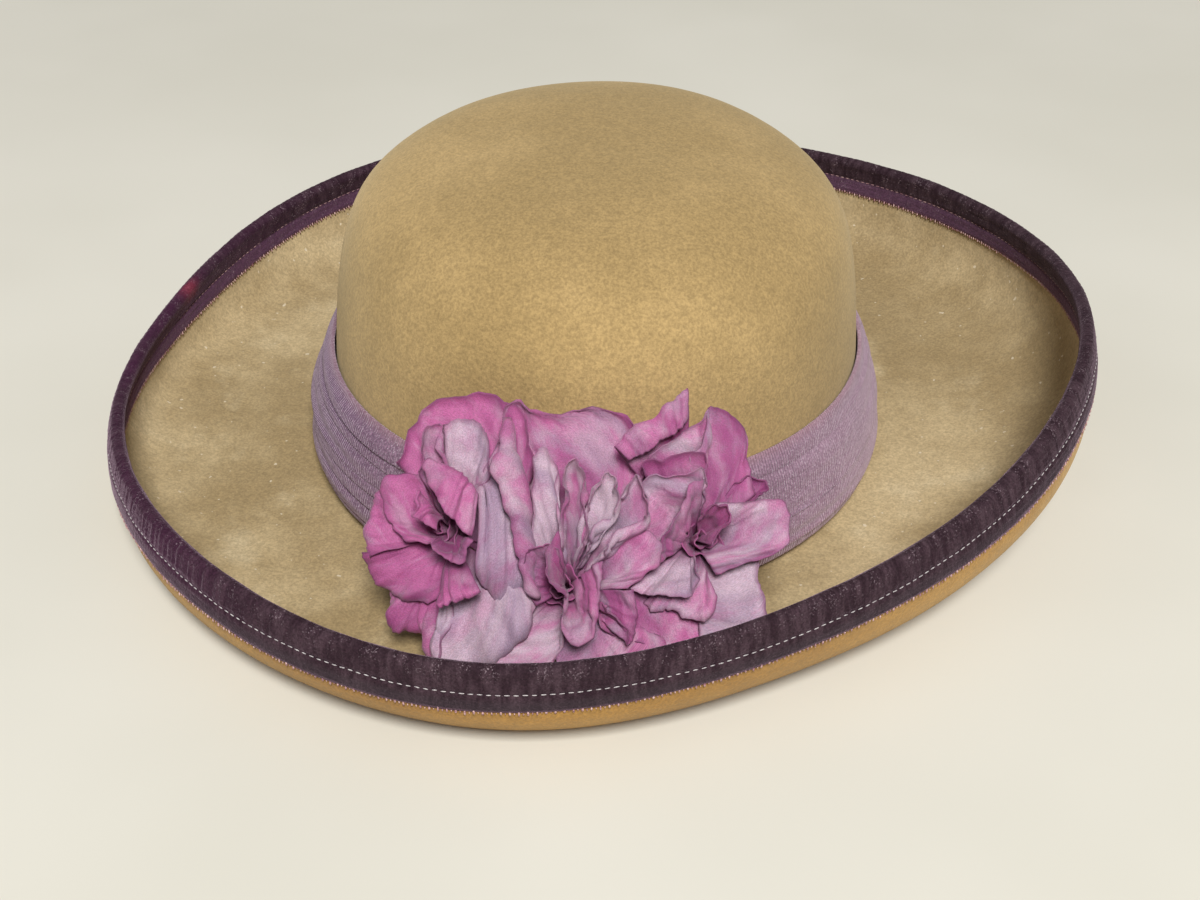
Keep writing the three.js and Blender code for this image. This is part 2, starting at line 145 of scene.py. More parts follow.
# Petals: the node each stands for, its bow toward the camera, the share of grey dye and of deep rose dye,
# the points that a folded petal passes over on its way, and the points of its rim. A point is where it shows
# in the photograph, in its pixels, and how far it stands ahead of the flower's foot toward the camera.
PETAL_COLUMNS = ("node", "bow", "grey", "rose", "over", "rim")
PETALS = [dict(zip(PETAL_COLUMNS, row)) for row in (
    ("left_petal_1", 3, 0.05, 0.30, (),
     ((398, 463, 5), (410, 434, 4), (428, 405, 4), (450, 396, 4), (475, 393, 4), (500, 394, 4),
      (520, 408, 5), (531, 430, 6), (533, 455, 7), (532, 485, 8))),
    ("left_petal_2", 5, 0.10, 0.35, (),
     ((400, 472, 8), (381, 480, 6), (368, 498, 5), (362, 522, 4), (358, 548, 5), (366, 557, 7))),
    ("left_petal_2", 5, 0.10, 0.40, (),
     ((418, 474, 13), (400, 474, 10), (380, 482, 9), (379, 497, 9), (386, 512, 9), (392, 527, 10),
      (404, 538, 12), (424, 544, 14))),
    ("left_petal_3", 5, 0.10, 0.40, (),
     ((363, 553, 5), (362, 562, 4), (368, 575, 3), (378, 588, 3), (390, 596, 4), (410, 601, 6),
      (430, 603, 8), (442, 598, 9))),
    ("left_petal_4", 3, 0.10, 0.40, (),
     ((386, 590, 0), (384, 608, 0), (384, 628, 1), (392, 637, 2), (405, 638, 2), (421, 641, 2))),
    ("left_petal_5", 4, 0.25, 0.35, (),
     ((420, 604, 3), (416, 630, 3), (420, 650, 4), (430, 663, 5), (438, 652, 5), (448, 630, 6),
      (458, 608, 7))),
    ("left_petal_6", 5, 1.00, 0.00, (),
     ((450, 608, 9), (446, 630, 9), (437, 650, 8), (431, 668, 8), (455, 677, 8), (480, 674, 10),
      (503, 663, 13), (522, 645, 15), (536, 622, 16), (539, 600, 16))),
    ("left_petal_7", 0, 0.80, 0.10, ((477, 494, 14), (487, 486, 14), (498, 484, 13), (508, 490, 11)),
     ((474, 580, 18), (480, 594, 18), (494, 605, 18), (510, 610, 17), (526, 606, 15), (532, 598, 14))),
    ("left_petal_8", 0, 0.55, 0.30, ((508, 440, 12), (516, 462, 14), (526, 490, 15), (530, 530, 15),
         (531, 565, 15), (531, 592, 14)),
     ((503, 418, 15), (497, 440, 19), (490, 462, 22), (496, 485, 23), (506, 510, 23), (513, 540, 22),
      (518, 570, 21), (522, 592, 18))),
    ("left_petal_8", 3, 0.80, 0.05, (),
     ((500, 440, 12), (512, 462, 13), (524, 478, 13), (533, 492, 13), (532, 530, 13), (530, 560, 13))),
    ("left_petal_9", 3, 0.40, 0.45, (),
     ((418, 470, 13), (423, 434, 12), (431, 424, 12), (443, 421, 12), (441, 446, 14), (450, 462, 15),
      (463, 478, 15), (477, 493, 14))),
    ("left_petal_9", 2, 0.85, 0.05, (),
     ((443, 424, 9), (460, 419, 9), (480, 424, 10), (489, 433, 11), (491, 455, 12), (489, 470, 13),
      (480, 492, 13))),
    ("left_petal_10", 0, 0.10, 0.30, ((434, 467, 16), (450, 468, 17), (466, 480, 17), (476, 494, 16)),
     ((422, 468, 18), (429, 489, 20), (439, 503, 22), (448, 515, 22), (459, 527, 21), (472, 537, 19))),
    ("left_petal_10", 0, 0.15, 0.60, ((440, 520, 17), (432, 508, 19), (424, 497, 19)),
     ((436, 532, 21), (424, 522, 23), (412, 516, 23), (418, 508, 23), (413, 500, 22), (420, 492, 20))),
    ("left_petal_11", 0, 0.20, 0.40, ((438, 594, 17), (455, 585, 20), (476, 582, 19)),
     ((439, 602, 19), (450, 606, 20), (463, 604, 20), (474, 596, 19), (479, 588, 18))),
    ("left_petal_11", 2, 0.15, 0.65, (),
     ((432, 540, 21), (440, 552, 22), (452, 559, 22), (461, 563, 21), (466, 548, 20), (471, 538, 19))),
    ("middle_petal_1", 3, 0.90, 0.00, (),
     ((531, 545, 14), (532, 510, 15), (533, 480, 16), (535, 456, 17), (543, 447, 17), (551, 454, 17),
      (556, 475, 16), (559, 500, 15), (560, 530, 14))),
    ("middle_petal_2", 2, 0.50, 0.20, (),
     ((559, 548, 15), (560, 515, 17), (564, 494, 18), (572, 451, 22), (577, 458, 20), (586, 475, 17),
      (588, 500, 16), (589, 538, 15))),
    ("middle_petal_3", 2, 1.00, 0.00, (),
     ((586, 542, 14), (585, 508, 16), (592, 488, 18), (602, 474, 19), (612, 466, 20), (619, 471, 20),
      (622, 485, 20), (622, 505, 20), (617, 517, 19), (603, 522, 18), (593, 538, 17))),
    ("middle_petal_4", 2, 0.70, 0.10, (),
     ((621, 492, 16), (632, 480, 17), (643, 472, 18), (647, 480, 19), (651, 490, 19), (656, 503, 20),
      (655, 516, 20), (640, 526, 20), (626, 531, 20), (617, 540, 20), (612, 552, 19))),
    ("middle_petal_5", 3, 0.45, 0.35, (),
     ((566, 592, 18), (565, 612, 19), (566, 634, 20), (571, 641, 20), (580, 644, 21), (590, 640, 21),
      (595, 622, 21), (598, 600, 21), (600, 578, 20), (601, 560, 19))),
    ("middle_petal_5", 3, 0.30, 0.20, (),
     ((604, 604, 17), (616, 615, 15), (625, 627, 14), (631, 645, 13), (636, 620, 15), (633, 590, 17))),
    ("middle_petal_6", 4, 0.60, 0.00, (),
     ((520, 598, 3), (500, 640, 4), (480, 668, 5), (510, 675, 6), (540, 676, 7), (556, 664, 8),
      (562, 645, 9), (566, 620, 10))),
    ("middle_petal_7", 4, 0.40, 0.25, (),
     ((560, 638, 6), (556, 660, 6), (558, 676, 7), (580, 680, 8), (612, 676, 8), (640, 664, 8),
      (668, 653, 8), (668, 640, 7))),
    ("middle_petal_8", 2, 0.30, 0.15, (),
     ((512, 440, 2), (505, 405, 1), (517, 397, 1), (535, 406, 2), (553, 413, 3), (572, 409, 3),
      (592, 406, 3), (615, 409, 3), (632, 418, 4), (643, 427, 5), (647, 445, 6), (650, 468, 7),
      (640, 492, 8))),
    ("middle_petal_9", 3, 0.30, 0.50, (),
     ((536, 606, 11), (527, 592, 12), (525, 568, 15), (528, 548, 17), (540, 542, 18), (552, 540, 18),
      (559, 546, 18))),
    ("middle_petal_9", 3, 0.30, 0.40, (),
     ((559, 531, 19), (551, 546, 20), (546, 560, 21), (546, 573, 21), (552, 584, 21), (560, 590, 21),
      (567, 598, 20))),
    ("middle_petal_10", 3, 0.50, 0.00, (),
     ((616, 536, 15), (630, 530, 15), (645, 530, 16), (658, 538, 17), (662, 560, 18), (650, 573, 18),
      (640, 580, 17), (628, 589, 16))),
    ("right_petal_1", 4, 0.15, 0.30, (),
     ((692, 468, 8), (703, 448, 7), (709, 430, 6), (709, 406, 5), (718, 408, 4), (730, 415, 4),
      (742, 427, 4), (747, 442, 4), (746, 460, 5), (750, 478, 6), (757, 494, 7))),
    ("right_petal_2", 0, 0.35, 0.35, ((618, 452, 13), (640, 436, 13), (665, 417, 13), (688, 399, 12)),
     ((631, 463, 17), (655, 447, 17), (675, 434, 17), (691, 421, 15))),
    ("right_petal_3", 2, 0.55, 0.00, (),
     ((648, 458, 12), (660, 447, 12), (675, 437, 12), (690, 426, 12), (700, 414, 11), (709, 407, 11),
      (710, 428, 12), (704, 444, 13), (690, 455, 14))),
    ("right_petal_4", 3, 0.30, 0.90, (),
     ((646, 476, 14), (641, 463, 14), (655, 457, 14), (675, 455, 14), (692, 453, 14), (706, 451, 15),
      (709, 462, 15), (704, 472, 15))),
    ("right_petal_5", 4, 0.60, 0.10, (),
     ((716, 503, 12), (740, 502, 11), (768, 500, 10), (783, 500, 9), (789, 512, 8), (789, 530, 8),
      (788, 545, 8), (775, 553, 9), (750, 562, 10), (716, 575, 11))),
    ("right_petal_6", 2, 0.10, 0.50, (),
     ((735, 480, 7), (752, 476, 6), (768, 482, 6), (763, 492, 6), (756, 503, 7))),
    ("right_petal_7", 4, 0.85, 0.00, (),
     ((716, 573, 7), (740, 568, 6), (758, 563, 5), (758, 580, 4), (763, 600, 4), (763, 620, 5),
      (745, 636, 6), (720, 645, 7), (700, 650, 8))),
    ("right_petal_8", 4, 0.35, 0.20, (),
     ((720, 648, 5), (695, 655, 6), (670, 655, 7), (648, 646, 8), (625, 637, 9), (600, 627, 10),
      (597, 612, 11), (607, 600, 12))),
    ("right_petal_9", 1, 0.95, 0.00, (),
     ((630, 587, 16), (645, 594, 17), (660, 595, 18), (675, 595, 18), (688, 597, 18), (694, 590, 18),
      (698, 575, 18))),
    ("right_petal_9", 3, 0.50, 0.05, (),
     ((640, 606, 11), (655, 611, 12), (672, 613, 13), (682, 619, 13), (700, 621, 13), (711, 613, 13),
      (717, 597, 13))),
    ("right_petal_10", 3, 0.65, 0.05, (),
     ((640, 562, 12), (638, 540, 13), (642, 516, 14), (644, 497, 15), (642, 482, 16), (650, 475, 17),
      (670, 473, 17), (690, 471, 17), (706, 468, 17), (709, 482, 18))),
    ("right_petal_10", 2, 0.30, 0.25, (),
     ((706, 480, 19), (690, 486, 20), (687, 500, 20), (680, 514, 20), (672, 525, 19), (664, 540, 18),
      (657, 552, 17), (655, 566, 16))),
    ("right_petal_11", 2, 0.05, 0.75, (),
     ((703, 514, 20), (716, 500, 21), (730, 503, 21), (732, 515, 20), (722, 530, 19), (712, 545, 18))),
)]
PETAL_FOOT = 3.0
PETAL_THICKNESS = 0.35
PETAL_ROLL_SHARE = 0.12
PETAL_ROLL = (10, 70)
PETAL_CLEAR = 1.2
PETAL_CREST = 13.0
PETAL_RUFFLE = 0.45
PETAL_CREASES = 12
CREASE_DEPTH = 0.65
CREASE_WIDTH = (0.6, 1.6)
PETAL_WAVES = ((10, 0.42), (4, 0.09))
RIM_NICKS = ((7, 0.16), (19, 0.1))
DYE_STEP = 40

# Where petals are laid on the hat instead of sinking into it: degrees round the brim, heights between which
# the room for the band grows, the lift past which the brim is a wall, and how far beyond the brim a point
# below it still counts as sunk
LAID_ARC = (225, 330)
BAND_FADE = (BAND_HEIGHT + 8, 4)
WALL_LIFT = 12
SUNK_WITHIN = 60

# Hearts: a strip of silk rolled into a bud, and its gathered neck bound with thread
HEART_RADIUS = 7.0
HEART_HEIGHT = 10.5
HEART_CORE = 0.7
HEART_TURNS = 2.6
HEART_RUFFLE = 1.1
NECK_RADIUS = 3.4
NECK_INTO_BUD = 4.6
NECK_FOLDS = 9
NECK_FOLD_WIDTH = 3.2
NECK_SPREAD = 0.14
NECK_WRAPS = 7
NECK_WRAP_PITCH = 0.75

# Mesh density
CURVE_SAMPLES = 400
EDGE_SAMPLES = 2400
FELT_COLUMNS = 360
DOME_ROWS = 56
FOOT_ROWS = 5
BRIM_ROWS = 50
RIBBON_COLUMNS = 1280
RIBBON_ROWS = 56
RIBBON_BACK_ROWS = 16
BAND_COLUMNS = 560
PLEAT_ROWS = 13
BAND_ROLL_ROWS = 8
PETAL_ACROSS = 42
PETAL_ALONG = 42
HEART_COLUMNS = 130
HEART_ROWS = 18
TINY = 1e-9

# Camera, found by matching the hat's outlines: pixels are the photograph's
PHOTO_WIDTH = 1200
PHOTO_HEIGHT = 900
FOCAL_PIXELS = 1727.85
SENSOR = 36.0
CAMERA_TARGET = np.array([-1.73, -0.20, -10.79])
CAMERA_DISTANCE = 618.9
CAMERA_AROUND = 0.177
CAMERA_UP = 0.615
CAMERA_ROLL = 0.011

# The floor's half side in metres, and the strength and colour of the light from all round
FLOOR_HALF = 12.0
WORLD_LIGHT = 0.21
WORLD_COLOUR = (1.0, 0.98, 0.95, 1.0)

band_low, band_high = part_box("hat_band")
AXIS_PLACE = np.array([(band_low.x + band_high.x) / 2, (band_low.y + band_high.y) / 2, 0.0]) / MM


# Numbers and directions

def smooth(low, high, value):
    """0 below low, 1 above high, and a soft step between."""
    share = np.clip((value - low) / (high - low), 0, 1)
    return share * share * (3 - 2 * share)


def slow_waves(seed, angle, along, turns, amount):
    """A seeded sum of waves, a whole number of them round the hat."""
    rng = np.random.default_rng(seed)
    count = 10
    total = 0
    for _ in range(count):
        around = rng.integers(1, turns + 1)
        climb = rng.uniform(-turns, turns)
        total = total + np.cos(around * angle + climb * along + rng.uniform(0, FULL_TURN))
    return amount * total / math.sqrt(count)


def free_waves(seed, x, y, pitch, amount):
    """A seeded sum of waves in two directions, about one for each pitch."""
    rng = np.random.default_rng(seed)
    count = 9
    total = 0
    for _ in range(count):
        heading = rng.uniform(0, FULL_TURN)
        stride = FULL_TURN / (pitch * rng.uniform(0.7, 1.5))
        travel = x * math.cos(heading) + y * math.sin(heading)
        total = total + np.cos(stride * travel + rng.uniform(0, FULL_TURN))
    return amount * total / math.sqrt(count)


def unit(vectors):
    """The same directions with a length of one."""
    return vectors / np.maximum(np.linalg.norm(vectors, axis=-1, keepdims=True), TINY)


def stacked(*parts):
    """Points or other rows of numbers from their parts, spread to one shape."""
    return np.stack(np.broadcast_arrays(*parts), axis=-1)


def runs(points, axis):
    """Distances along one direction of a grid of points, or along a line of them."""
    steps = np.linalg.norm(np.diff(points, axis=axis), axis=-1)
    first = np.zeros_like(np.take(steps, [0], axis=axis))
    return np.concatenate([first, np.cumsum(steps, axis=axis)], axis=axis)


def round_angles(count, start=0):
    """Angles at equal steps round the hat, in degrees."""
    return start + np.arange(count) * 360 / count


def toward(around, up):
    """Unit direction from the hat, around from straight in front toward the right, both in radians."""
    return np.array([math.sin(around) * math.cos(up), -math.cos(around) * math.cos(up), math.sin(up)])


def level_frame(back):
    """Right and up directions of a camera or light that isn't rolled."""
    right = unit(np.cross((0, 0, 1), back))
    return right, np.cross(back, right)


def camera_frame():
    """Right, up and back directions of the photograph's camera."""
    back = toward(CAMERA_AROUND, CAMERA_UP)
    level, upright = level_frame(back)
    right = level * math.cos(CAMERA_ROLL) + upright * math.sin(CAMERA_ROLL)
    return right, np.cross(back, right), back


# Meshes

def add_object(name, data):
    """A new object in the scene."""
    thing = bpy.data.objects.new(name, data)
    bpy.context.scene.collection.objects.link(thing)
    return thing


def make_piece(name, points, faces, material, slot, **attributes):
    """A smooth mesh from points in millimetres on the hat's one body, with values for its material."""
    mesh = bpy.data.meshes.new(name)
    mesh.from_pydata((points.reshape(-1, 3) * MM).tolist(), [], faces)
    mesh.polygons.foreach_set("use_smooth", [True] * len(mesh.polygons))
    for key, values in attributes.items():
        is_place = key in ("ring", "petal")
        kind, field = ("FLOAT_VECTOR", "vector") if is_place else ("FLOAT", "value")
        spread = np.broadcast_to(values, points.shape if is_place else points.shape[:-1]).astype(float)
        mesh.attributes.new(key, kind, "POINT").data.foreach_set(field, spread.ravel())
    mesh.materials.append(material)
    piece = add_object(name, mesh)
    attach(piece, "root")
    return piece


def loop_faces(columns, rows, closed):
    """Faces of a grid that closes round its columns, and along its rows too if closed."""
    column = np.arange(columns)[:, None]
    row = np.arange(rows if closed else rows - 1)[None, :]
    after = (column + 1) % columns
    below = (row + 1) % rows
    corners = (column * rows + row, column * rows + below, after * rows + below, after * rows + row)
    return np.stack(corners, axis=-1).reshape(-1, 4).tolist()


def plate_faces(across, along):
    """Faces of a closed thin plate: a front grid, a back grid and the rims between."""
    side = across * along
    i, j = np.meshgrid(np.arange(across - 1), np.arange(along - 1), indexing="ij")
    a = (i * along + j).ravel()
    b = a + along
    front = np.stack([a, b, b + 1, a + 1], axis=1)
    back = np.stack([a, a + 1, b + 1, b], axis=1) + side
    i = np.arange(across - 1) * along
    j = np.arange(along - 1)
    foot = np.stack([i, i + side, i + along + side, i + along], axis=1)
    top = i + along - 1
    rim = np.stack([top, top + along, top + along + side, top + side], axis=1)
    near = np.stack([j, j + 1, j + 1 + side, j + side], axis=1)
    last = (across - 1) * along + j
    far = np.stack([last, last + side, last + 1 + side, last + 1], axis=1)
    return np.concatenate([front, back, foot, rim, near, far]).tolist()


def surface_normals(grid):
    """Unit normals of a grid of points."""
    return unit(np.cross(np.gradient(grid, axis=0), np.gradient(grid, axis=1)))


def make_plate(name, grid, material, slot, **attributes):
    """A closed thin sheet of silk from a grid of points on its middle surface."""
    aside = surface_normals(grid) * PETAL_THICKNESS / 2
    points = np.stack([grid + aside, grid - aside])
    return make_piece(name, points, plate_faces(*grid.shape[:2]), material, slot, **attributes)


def ellipsoids(centres, directions, sides, sizes, rings=5, spokes=6):
    """Many small ellipsoids as one mesh, with their size in each direction: points and faces."""
    centres, directions, sides, sizes = np.broadcast_arrays(centres, directions, sides, sizes)
    polar = np.linspace(0, math.pi, rings + 2)[1:-1]
    turn = np.arange(spokes) * FULL_TURN / spokes
    ball = [(-1, 0, 0)]
    for p in polar:
        ball.extend((-math.cos(p), math.sin(p) * math.cos(t), math.sin(p) * math.sin(t)) for t in turn)
    ball.append((1, 0, 0))
    points = centres[:, None, :]
    for k, axes in enumerate((directions, sides, np.cross(directions, sides))):
        points = points + np.array(ball)[:, k, None] * axes[:, None, :] * sizes[:, None, k, None] / 2
    faces = []
    last = len(ball) - 1
    end = last - spokes
    for k in range(spokes):
        after = (k + 1) % spokes
        faces.append((0, 1 + after, 1 + k))
        for a, b in ((1 + ring * spokes + k, 1 + ring * spokes + after) for ring in range(rings - 1)):
            faces.append((a, b, b + spokes))
            faces.append((a, b + spokes, a + spokes))
        faces.append((last, end + k, end + after))
    shifts = np.arange(len(centres))[:, None, None] * len(ball)
    return points.reshape(-1, 3), (np.array(faces) + shifts).reshape(-1, 3).tolist()


# Section lines, one for each angle: points are (distance from the axis, height)

def brim_column(values, angles):
    """Periodic cubic B-spline through one column of the brim table, angles in degrees."""
    step = 360 / len(BRIM_ANGLE)
    away = np.abs((angles[:, None] - BRIM_ANGLE[None, :] + 540) % 360 - 180) / step
    near = 2 / 3 - away ** 2 + away ** 3 / 2
    far = np.clip(2 - away, 0, None) ** 3 / 6
    return np.where(away < 1, near, far) @ values


def foot_oval(angles):
    """Radius of the crown's oval at the foot."""
    turn = np.radians(angles)
    return 1 / np.hypot(np.cos(turn) / CROWN_HALF_WIDTH, np.sin(turn) / CROWN_HALF_LENGTH)


def at_distances(lines, wanted):
    """Points of each line at the wanted distances along it."""
    run = runs(lines, 1)
    found = np.empty((*wanted.shape, 2))
    for i in range(len(lines)):
        found[i, :, 0] = np.interp(wanted[i], run[i], lines[i, :, 0])
        found[i, :, 1] = np.interp(wanted[i], run[i], lines[i, :, 1])
    return found


def evenly(lines, steps):
    """Each line cut into equal steps."""
    length = runs(lines, 1)[:, -1:]
    return at_distances(lines, length * np.linspace(0, 1, steps + 1))


def left_of(directions):
    """Directions turned a quarter to the left."""
    return stacked(-directions[..., 1], directions[..., 0])


def sideways(lines):
    """Unit directions to the left of each line."""
    return left_of(unit(np.gradient(lines, axis=1)))


def crown_lines(angles):
    """Middle of the crown's felt, from the top of the dome down to the foot bend."""
    quarter = QUARTER_TURN * (1 - np.arange(CURVE_SAMPLES + 1) / CURVE_SAMPLES)
    height = CROWN_HEIGHT * np.sin(quarter) ** (2 / DOME_UPRIGHT)
    lowest = REST_LEVEL + FOOT_RADIUS
    kept = height > lowest
    height = height[kept]
    oval = foot_oval(angles)[:, None]
    radius = (oval - CROWN_TAPER * height) * np.cos(quarter[kept]) ** (2 / DOME_ACROSS)
    radius[:, 0] = 0
    lines = np.concatenate([stacked(radius, height), stacked(oval, lowest)], axis=1)
    share = np.linspace(0, 1, lines.shape[1])[None, :]
    fade = smooth(0, 0.35, share) * smooth(1, 0.8, share)
    wave = slow_waves(CROWN_SEED, np.radians(angles)[:, None], 4 * share, 4, FELT_WAVE) * fade
    return lines + sideways(lines) * wave[..., None]


def foot_lines(angles):
    """Quarter bend from the crown's wall out to the brim."""
    turn = QUARTER_TURN * np.arange(1, FOOT_ROWS + 1) / FOOT_ROWS
    centre = foot_oval(angles)[:, None] + FOOT_RADIUS
    radius = centre - FOOT_RADIUS * np.cos(turn)
    height = REST_LEVEL + FOOT_RADIUS * (1 - np.sin(turn))
    return stacked(radius, height)


def brim_lines(angles):
    """Middle of the brim's felt, from the flat ring out to the edge."""
    start = foot_oval(angles) + REST_RING_END
    reach = brim_column(BRIM_REACH, angles)
    lift = brim_column(BRIM_LIFT, angles)
    roll = np.radians(brim_column(BRIM_ROLL, angles))
    width = reach - start
    pull = BRIM_ARRIVE * width + BRIM_LIFT_SHARE * lift
    corners = (
        stacked(start, REST_LEVEL),
        stacked(start + BRIM_LEAVE * width, REST_LEVEL),
        stacked(reach - pull * np.cos(roll), lift - pull * np.sin(roll)),
        stacked(reach, lift),
    )
    t = np.linspace(0, 1, CURVE_SAMPLES + 1)[None, :, None]
    weights = ((1 - t) ** 3, 3 * t * (1 - t) ** 2, 3 * t * t * (1 - t), t ** 3)
    lines = sum(weight * corner[:, None, :] for weight, corner in zip(weights, corners))
    share = t[..., 0]
    fade = smooth(0.25, 0.7, share)
    wave = slow_waves(BRIM_SEED, np.radians(angles)[:, None], 3 * share, 7, FELT_WAVE) * fade
    lines = lines + sideways(lines) * wave[..., None]
    lines[..., 1] = np.maximum(lines[..., 1], REST_LEVEL)
    return lines


def turned(sections, angles):
    """Points or directions of sections, each turned round the hat's axis to its own angle."""
    turn = np.radians(angles).reshape(-1, *([1] * (sections.ndim - 2)))
    radius = sections[..., 0]
    return stacked(radius * np.cos(turn), radius * np.sin(turn), sections[..., 1])


def placed(sections, angles):
    """Points of sections turned round the hat's axis, in the frame's place but in millimetres."""
    return turned(sections, angles) + AXIS_PLACE


def edge_run(angles):
    """Distances round the brim's edge at the given angles, ending back at the first of them."""
    edge = placed(brim_lines(angles)[:, -1:], angles)[:, 0]
    return runs(np.concatenate([edge, edge[:1]]), 0)


def ring_place(turn, radius, across):
    """Places in metres for a material, on a plain upright ring instead of the bent surface."""
    return stacked(radius * np.cos(turn), radius * np.sin(turn), across) * MM


# Node materials

def srgb(red, green, blue):
    """A colour as seen, 0 to 255, as the linear colour that a shader takes."""
    linear = []
    for value in (red, green, blue):
        share = value / 255
        linear.append(share / 12.92 if share <= 0.04045 else ((share + 0.055) / 1.055) ** 2.4)
    return (*linear, 1.0)


class Look:
    """A material of nodes that end in one Principled shader."""

    def __init__(self, name, **sockets):
        self.material = bpy.data.materials.new(name)
        self.material.use_nodes = True
        self.tree = self.material.node_tree
        self.shader = self.tree.nodes["Principled BSDF"]
        for key, value in sockets.items():
            self.shader.inputs[key.replace("_", " ")].default_value = value

    def add(self, kind, inputs=None, **settings):
        """A node with its settings, and inputs that are values or other nodes' outputs."""
        node = self.tree.nodes.new("ShaderNode" + kind)
        for key, value in settings.items():
            setattr(node, key, value)
        for key, value in (inputs or {}).items():
            self.feed(node.inputs[key], value)
        return node

    def feed(self, socket, value):
        """Sets a socket, or links it to another node's output."""
        if isinstance(value, bpy.types.NodeSocket):
            self.tree.links.new(value, socket)
        else:
            socket.default_value = value

    def finish(self, colour, roughness, normal):
        """Links what the shader takes."""
        self.feed(self.shader.inputs["Base Color"], colour)
        self.feed(self.shader.inputs["Roughness"], roughness)
        self.feed(self.shader.inputs["Normal"], normal)
        return self.material

    def place(self):
        """Place on the object, in metres."""
        return self.add("TexCoord").outputs["Object"]

    def attribute(self, name, output="Fac"):
        """A value stored on the mesh."""
        return self.add("Attribute", attribute_name=name).outputs[output]

    def noise(self, vector, scale, detail=3.0, rough=0.55):
        """Noise from 0 to 1."""
        settings = {"Vector": vector, "Scale": scale, "Detail": detail, "Roughness": rough}
        return self.add("TexNoise", settings).outputs["Fac"]

    def stretched(self, vector, scales):
        """A place with each axis stretched by its own scale."""
        return self.add("Mapping", {"Vector": vector, "Scale": scales}).outputs["Vector"]

    def part(self, vector, axis):
        """One part of a place: X, Y or Z."""
        return self.add("SeparateXYZ", {"Vector": vector}).outputs[axis]

    def between(self, value, low, high, to_low=0.0, to_high=1.0):
        """A value taken from one range into another, kept within it."""
        inputs = {"Value": value, "From Min": low, "From Max": high, "To Min": to_low, "To Max": to_high}
        return self.add("MapRange", inputs, interpolation_type="SMOOTHSTEP").outputs["Result"]

    def both(self, operation, first, second):
        """Two values put together."""
        node = self.add("Math", operation=operation)
        self.feed(node.inputs[0], first)
        self.feed(node.inputs[1], second)
        return node.outputs["Value"]

    def times(self, first, second):
        """Two values multiplied."""
        return self.both("MULTIPLY", first, second)

    def mix(self, share, first, second, blend="MIX"):
        """Two colours mixed."""
        node = self.add("Mix", data_type="RGBA", blend_type=blend)
        self.feed(node.inputs["Factor"], share)
        self.feed(node.inputs[6], first)
        self.feed(node.inputs[7], second)
        return node.outputs[2]

    def layered(self, colour, *layers):
        """A colour with others laid over it in turn, each by its own share."""
        for share, over in layers:
            colour = self.mix(share, colour, over)
        return colour

    def grained(self, colour, grain):
        """A colour made lighter and darker by a grain about 1."""
        return self.mix(1.0, colour, grain, "MULTIPLY")

    def bump(self, height, depth, strength=1.0, under=None):
        """A bump whose height is in metres for a value of one."""
        inputs = {"Height": height, "Distance": depth, "Strength": strength}
        if under is not None:
            inputs["Normal"] = under
        return self.add("Bump", inputs).outputs["Normal"]


def felt_material():
    """Brushed wool felt: greyer and blotched on the brim's top, warm gold beneath."""
    look = Look("felt", Sheen_Weight=0.35, Sheen_Roughness=0.6, Specular_IOR_Level=0.12,
                Sheen_Tint=srgb(232, 216, 180))
    place = look.place()
    brim = look.attribute("brim")
    under = look.attribute("under")
    patches = look.between(look.noise(place, 14, 4, 0.6), 0.38, 0.66)
    pale = look.between(look.noise(place, 26, 5, 0.65), 0.52, 0.72)
    crown = look.mix(patches, srgb(157, 133, 90), srgb(176, 150, 104))
    top = look.mix(patches, srgb(152, 132, 96), srgb(188, 169, 132))
    top = look.mix(look.times(pale, 0.55), top, srgb(206, 191, 158))
    below = look.mix(patches, srgb(142, 100, 42), srgb(166, 123, 57))
    colour = look.mix(under, look.mix(brim, crown, top), below)
    fibre = look.noise(place, 1100, 3, 0.7)
    fleck = look.noise(place, 420, 2, 0.6)
    grain = look.between(fibre, 0.3, 0.7, 0.79, 1.17)
    grain = look.times(grain, look.between(fleck, 0.35, 0.65, 0.94, 1.06))
    colour = look.grained(colour, grain)
    bare = look.both("SUBTRACT", brim, under)
    specks = look.between(look.noise(place, 430, 1, 0.4), 0.745, 0.775, 0.0, 0.6)
    colour = look.mix(look.times(bare, specks), colour, srgb(226, 216, 194))
    soft = look.bump(look.noise(place, 90, 3, 0.5), 0.0006, 0.6)
    rough = look.between(fleck, 0.3, 0.7, 0.88, 1.0)
    return look.finish(colour, rough, look.bump(fibre, 0.00025, 0.9, soft))


